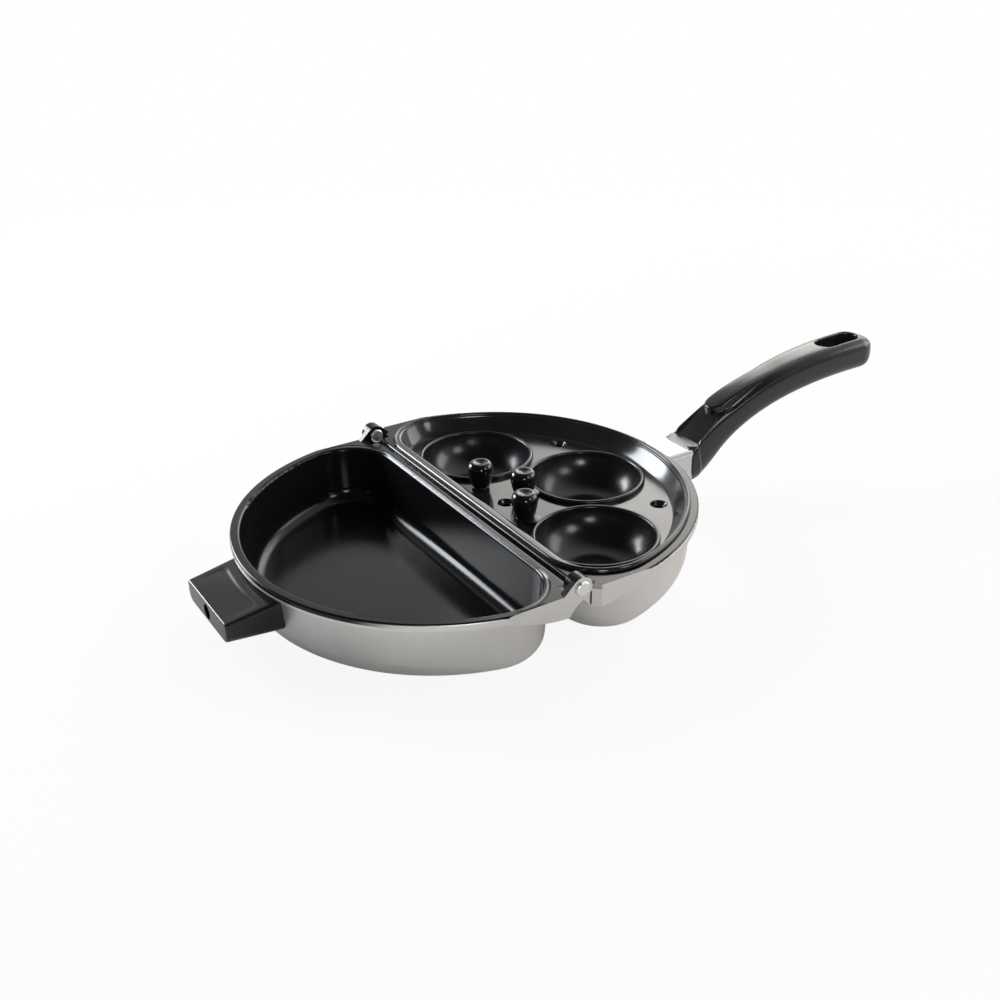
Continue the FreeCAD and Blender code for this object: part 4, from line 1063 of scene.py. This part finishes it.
class POACHER_OT_make_long_handle(bpy.types.Operator):
    """Makes the curved long handle with its ledge, thumb rest, groove and hang hole"""

    bl_idname = "poacher.make_long_handle"
    bl_label = "Make Long Handle"

    def execute(self, context):
        """Starts the handle's middle line at the middle of the sleeve's end."""
        grip = context.scene.poacher_long_grip
        low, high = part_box("handle_ferrule")
        start = (high.x, (low.y + high.y) / 2.0, (low.z + high.z) / 2.0)
        screw_low, screw_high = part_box("long_handle_screw")
        screw = ((screw_low.x + screw_high.x) / 2.0 - start[0], screw_low.z - start[2] + grip.pocket_lift)
        sheets = grip_sheets(grip, start, high.z - start[2], screw)
        make_piece("long_handle_grip", sheets, "poacher_half", grip_plastic(),
                   "long_handle")
        return {"FINISHED"}


def grip_plastic():
    """The moulded black of both handles, made once."""
    look = bpy.context.scene.poacher_finishes
    name = "grip_plastic"
    made = bpy.data.materials.get(name)
    return made or enamel_material(name, look.grip, rough_low=0.20, rough_high=0.28, peel=0.000004)


def edge_weights():
    """Weights that make a half section with rounded edges from its sizes, one row for each place round it.

    Six columns: the share of half the width, of the upper and of the lower rounding in y, then the share of
    half the height and of the two roundings in z. The places run over the top, round the upper edge, down the
    side, round the lower edge and back under to the middle.
    """
    top = np.linspace(0.0, 1.0, STEPS["side_top"])
    turn = np.linspace(0.0, math.pi / 2.0, STEPS["side_edge"])[1:]
    down = np.linspace(0.0, 1.0, STEPS["side_wall"])[1:]
    under = np.linspace(1.0, 0.0, STEPS["side_under"])[1:]
    parts = (
        (top, -top, 0.0, 1.0, 0.0, 0.0),
        (1.0, np.sin(turn) - 1.0, 0.0, 1.0, np.cos(turn) - 1.0, 0.0),
        (1.0, 0.0, 0.0, 1.0 - 2.0 * down, down - 1.0, down),
        (1.0, 0.0, np.cos(turn) - 1.0, -1.0, 0.0, 1.0 - np.sin(turn)),
        (under, 0.0, -under, -1.0, 0.0, 0.0))
    return np.concatenate([np.stack(np.broadcast_arrays(*part), axis=1) for part in parts])


def side_wall_place(side, across, height):
    """Place along X of the pan's drafted round wall: the circle's radius shrinks towards the base."""
    radius = side.wall_radius - (side.rim_height - height) * math.tan(side.draft)
    return side.pan_middle - np.sqrt(radius ** 2 - across ** 2)


def side_grip_sheets(side, low, high, bore):
    """Sheets of the side handle: its round-edged body from the pan's wall, its end, its bore and its root.

    Each half is a function of the share from the wall to the end and of the place round a section whose width
    and height taper. The top sinks by a soft step inside the panel's border, and the end closes on the bore.
    """
    rim_border, panel_corner, sink, bore_edge = 0.9, 0.005, 1.3, 0.0004
    centre = np.array(((low.y + high.y) / 2.0, (low.z + high.z) / 2.0))
    weights = edge_weights()
    on_top = (weights[:, 3] == 1.0) & (weights[:, 4] == 0.0)
    bend = np.linspace(0.0, math.pi / 2.0, STEPS["side_edge"])[1:]
    share = np.concatenate([np.linspace(0.0, 1.0, STEPS["side_length"]), np.ones(len(bend))])[:, None]
    turn = np.concatenate([np.zeros(STEPS["side_length"]), bend])[:, None]
    inset = side.end_edge * (1.0 - np.cos(turn))
    half_width = (high.y - low.y) / 2.0 - side.taper / 2.0 * share - inset
    half_height = side.inner_height / 2.0 - (side.inner_height - side.outer_height) / 2.0 * share - inset
    across = half_width * weights[:, 0] + side.top_edge * weights[:, 1] + side.low_edge * weights[:, 2]
    height = half_height * weights[:, 3] + side.top_edge * weights[:, 4] + side.low_edge * weights[:, 5]
    height = height + side.top_lift * (1.0 - share) * (1.0 + weights[:, 3]) / 2.0
    root = side_wall_place(side, across, centre[1] + height)
    x = root + (low.x + side.end_edge - root) * share - side.end_edge * np.sin(turn)
    from_rim = np.hypot(x - side.pan_middle, across) - side.rim_radius - side.border * rim_border
    panel = soft_min(from_rim, half_width + inset - side.border - across, panel_corner)
    soft = soft_step(panel, -side.panel_round / 2.0, side.panel_round / 2.0)
    height = height - np.where(on_top[None, :], side.panel_depth * (1.0 - share) * soft * sink, 0.0)
    body = np.stack([x, across, height], axis=-1)
    angle = np.linspace(math.pi / 2.0, -math.pi / 2.0, len(weights))
    bore_height = bore - centre[1]
    mouth = np.stack([np.full_like(angle, low.x), side.bore_radius * np.cos(angle),
                      bore_height + side.bore_radius * np.sin(angle)], axis=-1)
    face = body[-1] + (mouth - body[-1]) * np.linspace(0.0, 1.0, STEPS["side_face"])[:, None, None]
    floor = mouth + (side.bore_depth, 0.0, 0.0)
    heart = floor * (1.0, 0.0, 0.0) + (0.0, 0.0, bore_height)
    tube = np.stack([mouth, mouth + (bore_edge, 0.0, 0.0), floor, heart])
    back = body[0] * (0.0, 1.0, 1.0) * np.linspace(1.0, 0.0, STEPS["side_root"])[:, None, None]
    back[..., 0] = side_wall_place(side, back[..., 1], centre[1] + back[..., 2])
    move = np.array((0.0, centre[0], centre[1]))
    return [sheet * (1.0, mirror, 1.0) + move for mirror in (1.0, -1.0) for sheet in (body, face, tube, back)]


class POACHER_OT_make_side_handle(bpy.types.Operator):
    """Makes the short side handle with its sunk panel and screw bore"""

    bl_idname = "poacher.make_side_handle"
    bl_label = "Make Side Handle"

    def execute(self, context):
        """Takes the handle's place and size from its box and the bore's height from its screw."""
        side = context.scene.poacher_side_grip
        low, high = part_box("side_handle")
        sheets = side_grip_sheets(side, low, high, middle_of("side_handle_screw").z)
        make_piece("side_handle_grip", sheets, "omelette_half", grip_plastic(),
                   "side_handle")
        return {"FINISHED"}


class POACHER_OT_dress_pans(bpy.types.Operator):
    """Gives the two cast halves their satin metal and nonstick coat"""

    bl_idname = "poacher.dress_pans"
    bl_label = "Dress Pans"

    def execute(self, context):
        """Each half's coat and base are centred on the middle of its box."""
        for node, lip in (("poacher_pan", None), ("omelette_pan", OMELETTE_LIP)):
            middle = middle_of(node)
            dress(node, pan_material(node + "_cast", (middle.x, middle.y, 0.0), lip))
        return {"FINISHED"}


class POACHER_OT_dress_fittings(bpy.types.Operator):
    """Gives the sleeve, screws and rivets their finishes"""

    bl_idname = "poacher.dress_fittings"
    bl_label = "Dress Fittings"

    def execute(self, context):
        """Dresses each CAD node by its kind."""
        look = context.scene.poacher_finishes
        sleeve = metal_material("polished_sleeve", look.steel, rough_low=0.05, rough_high=0.10)
        dress("handle_ferrule", sleeve)
        screw = metal_material("screw_steel", look.screw, rough_low=0.28, rough_high=0.4)
        knob_screws = ["cup_knob_screw_" + place for place in PLACES]
        for node in knob_screws + ["long_handle_screw", "side_handle_screw"]:
            dress(node, screw)
        for place in ("front", "back"):
            for part in ("rivet", "washer"):
                node = place + "_hinge_" + part
                metal = metal_material(node + "_metal", look.rivet, rough_low=0.26, rough_high=0.38,
                                       centre=middle_of(node))
                dress(node, metal)
        return {"FINISHED"}


def floor_material(stage):
    """Pale matt floor that the camera sees close to white, with the object's shadow kept."""
    white, shade, lift_reach = (1.0, 1.0, 1.0, 1.0), 0.98, (0.3, 0.9)
    material = bpy.data.materials.new("studio_floor")
    material.use_nodes = True
    tree = material.node_tree
    tree.nodes.clear()
    grain = use_group(tree, "fine_grain", Scale=300.0)
    colour = mix_colours(tree, grain["Height"], rgba(stage.floor), rgba(stage.floor, shade))
    matt = add_node(tree, "ShaderNodeBsdfDiffuse", {"Color": colour})
    glow = add_node(tree, "ShaderNodeEmission", {"Color": white, "Strength": 1.0})
    rays = add_node(tree, "ShaderNodeLightPath").outputs
    mirrored = math_node(tree, "MAXIMUM", rays["Is Glossy Ray"], rays["Is Transmission Ray"])
    away = vector_node(tree, "LENGTH", object_place(tree)).outputs["Value"]
    lift = ramp(tree, away, *lift_reach, stage.floor_lift, 1.0)
    share = math_node(tree, "MAXIMUM", product(tree, rays["Is Camera Ray"], lift),
                      product(tree, mirrored, stage.mirror_lift))
    mixed = add_node(tree, "ShaderNodeMixShader", {0: share, 1: matt.outputs[0], 2: glow.outputs[0]})
    add_node(tree, "ShaderNodeOutputMaterial", {"Surface": mixed.outputs[0]})
    return material


def studio_world(stage):
    """White to the camera; to the object a soft sky, pale to the right and dark to the left."""
    dawn = (-0.09, 0.74)
    world = bpy.data.worlds.new("studio_sky")
    bpy.context.scene.world = world
    world.use_nodes = True
    tree = world.node_tree
    tree.nodes.clear()
    direction = add_node(tree, "ShaderNodeTexCoord").outputs["Generated"]
    pale = (math.cos(stage.sky_turn), math.sin(stage.sky_turn), 0.0)
    towards = vector_node(tree, "DOT_PRODUCT", direction, pale).outputs["Value"]
    sky = ramp(tree, towards, *dawn, stage.dark_sky, stage.pale_sky)
    rays = add_node(tree, "ShaderNodeLightPath")
    strength = mix_values(tree, rays.outputs["Is Camera Ray"], sky, 1.0)
    light = add_node(tree, "ShaderNodeBackground", {"Color": (1.0, 1.0, 1.0, 1.0), "Strength": strength})
    add_node(tree, "ShaderNodeOutputWorld", {"Surface": light.outputs[0]})


def soft_panel(name, shape, way, reach, size, power, tint):
    """A soft light at a reach from the object's middle along a direction, facing that middle."""
    low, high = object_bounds()
    middle = (low + high) / 2.0
    data = bpy.data.lights.new(name, "AREA")
    data.shape = shape
    data.size = size[0]
    data.size_y = size[1]
    data.energy = power
    data.color = tint
    lamp = bpy.data.objects.new(name, data)
    away = Vector(way).normalized()
    lamp.location = middle + away * reach
    lamp.rotation_euler = (-away).to_track_quat("-Z", "Y").to_euler()
    bpy.context.scene.collection.objects.link(lamp)
    lamp.visible_camera = False


def stage_camera(stage):
    """The camera at the photo's angle: back from its target by azimuth and elevation, with a roll."""
    turn, rise, roll = stage.azimuth, stage.elevation, stage.roll
    back = Vector((math.sin(turn) * math.cos(rise), -math.cos(turn) * math.cos(rise), math.sin(rise)))
    level = Vector((math.cos(turn), math.sin(turn), 0.0))
    over = back.cross(level)
    right = level * math.cos(roll) + over * math.sin(roll)
    upward = over * math.cos(roll) - level * math.sin(roll)
    data = bpy.data.cameras.new("photo_camera")
    data.lens = stage.lens
    data.clip_start = 0.01
    camera = bpy.data.objects.new("photo_camera", data)
    axes = Matrix((right, upward, back)).transposed().to_4x4()
    camera.matrix_world = Matrix.Translation(Vector(stage.target) + back * stage.distance) @ axes
    bpy.context.scene.collection.objects.link(camera)
    bpy.context.scene.camera = camera


class POACHER_OT_build_stage(bpy.types.Operator):
    """Makes the pale floor, the soft lights and the camera"""

    bl_idname = "poacher.build_stage"
    bl_label = "Build Stage"

    def execute(self, context):
        """The floor lies just under the pan, and the panels stand round it."""
        stage = context.scene.poacher_stage
        reach, gap = 15.0, 0.0001
        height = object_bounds()[0].z - gap
        corners = [(reach * x, reach * y, height) for x, y in ((-1, -1), (1, -1), (1, 1), (-1, 1))]
        mesh = bpy.data.meshes.new("floor")
        mesh.from_pydata(corners, [], [(0, 1, 2, 3)])
        mesh.materials.append(floor_material(stage))
        floor = bpy.data.objects.new("floor", mesh)
        context.scene.collection.objects.link(floor)
        floor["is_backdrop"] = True
        studio_world(stage)
        for name, shape, way, distance, size, power, tint in PANELS:
            soft_panel(name, shape, way, distance, size, getattr(stage, power), getattr(stage, tint))
        stage_camera(stage)
        context.scene.view_settings.view_transform = "Standard"
        return {"FINISHED"}


class VIEW3D_PT_poacher(bpy.types.Panel):
    """Lists the steps that build the pan's looks"""

    bl_label = "Poacher Pan"
    bl_space_type = "VIEW_3D"
    bl_region_type = "UI"
    bl_category = "Poacher Pan"

    def draw(self, context):
        """One button for each step, in order."""
        for operator in OPERATORS:
            self.layout.operator(operator.bl_idname)


OPERATORS = (POACHER_OT_dress_pans, POACHER_OT_dress_fittings, POACHER_OT_make_tray, POACHER_OT_make_cups,
             POACHER_OT_make_knobs, POACHER_OT_make_long_handle, POACHER_OT_make_side_handle,
             POACHER_OT_build_stage)
SETTINGS = {"poacher_finishes": PoacherFinishes, "poacher_long_grip": PoacherLongGrip,
            "poacher_side_grip": PoacherSideGrip, "poacher_tray": PoacherTray, "poacher_cups": PoacherCups,
            "poacher_stage": PoacherStage}


def register():
    """Registers the settings, steps and panel."""
    for name, kind in SETTINGS.items():
        bpy.utils.register_class(kind)
        setattr(bpy.types.Scene, name, PointerProperty(type=kind))
    for kind in OPERATORS + (VIEW3D_PT_poacher,):
        bpy.utils.register_class(kind)


def unregister():
    """Takes the panel, steps and settings away again."""
    for kind in reversed(OPERATORS + (VIEW3D_PT_poacher,)):
        bpy.utils.unregister_class(kind)
    for name, kind in reversed(SETTINGS.items()):
        delattr(bpy.types.Scene, name)
        bpy.utils.unregister_class(kind)


def main():
    """Builds the looks step by step."""
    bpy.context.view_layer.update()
    register()
    make_grain_group()
    make_marks_group()
    make_coat_group()
    make_lip_group()
    make_rings_group()
    bpy.ops.poacher.dress_pans()
    bpy.ops.poacher.dress_fittings()
    bpy.ops.poacher.make_tray()
    bpy.ops.poacher.make_cups()
    bpy.ops.poacher.make_knobs()
    bpy.ops.poacher.make_long_handle()
    bpy.ops.poacher.make_side_handle()
    bpy.ops.poacher.build_stage()


if __name__ == "__main__":
    main()
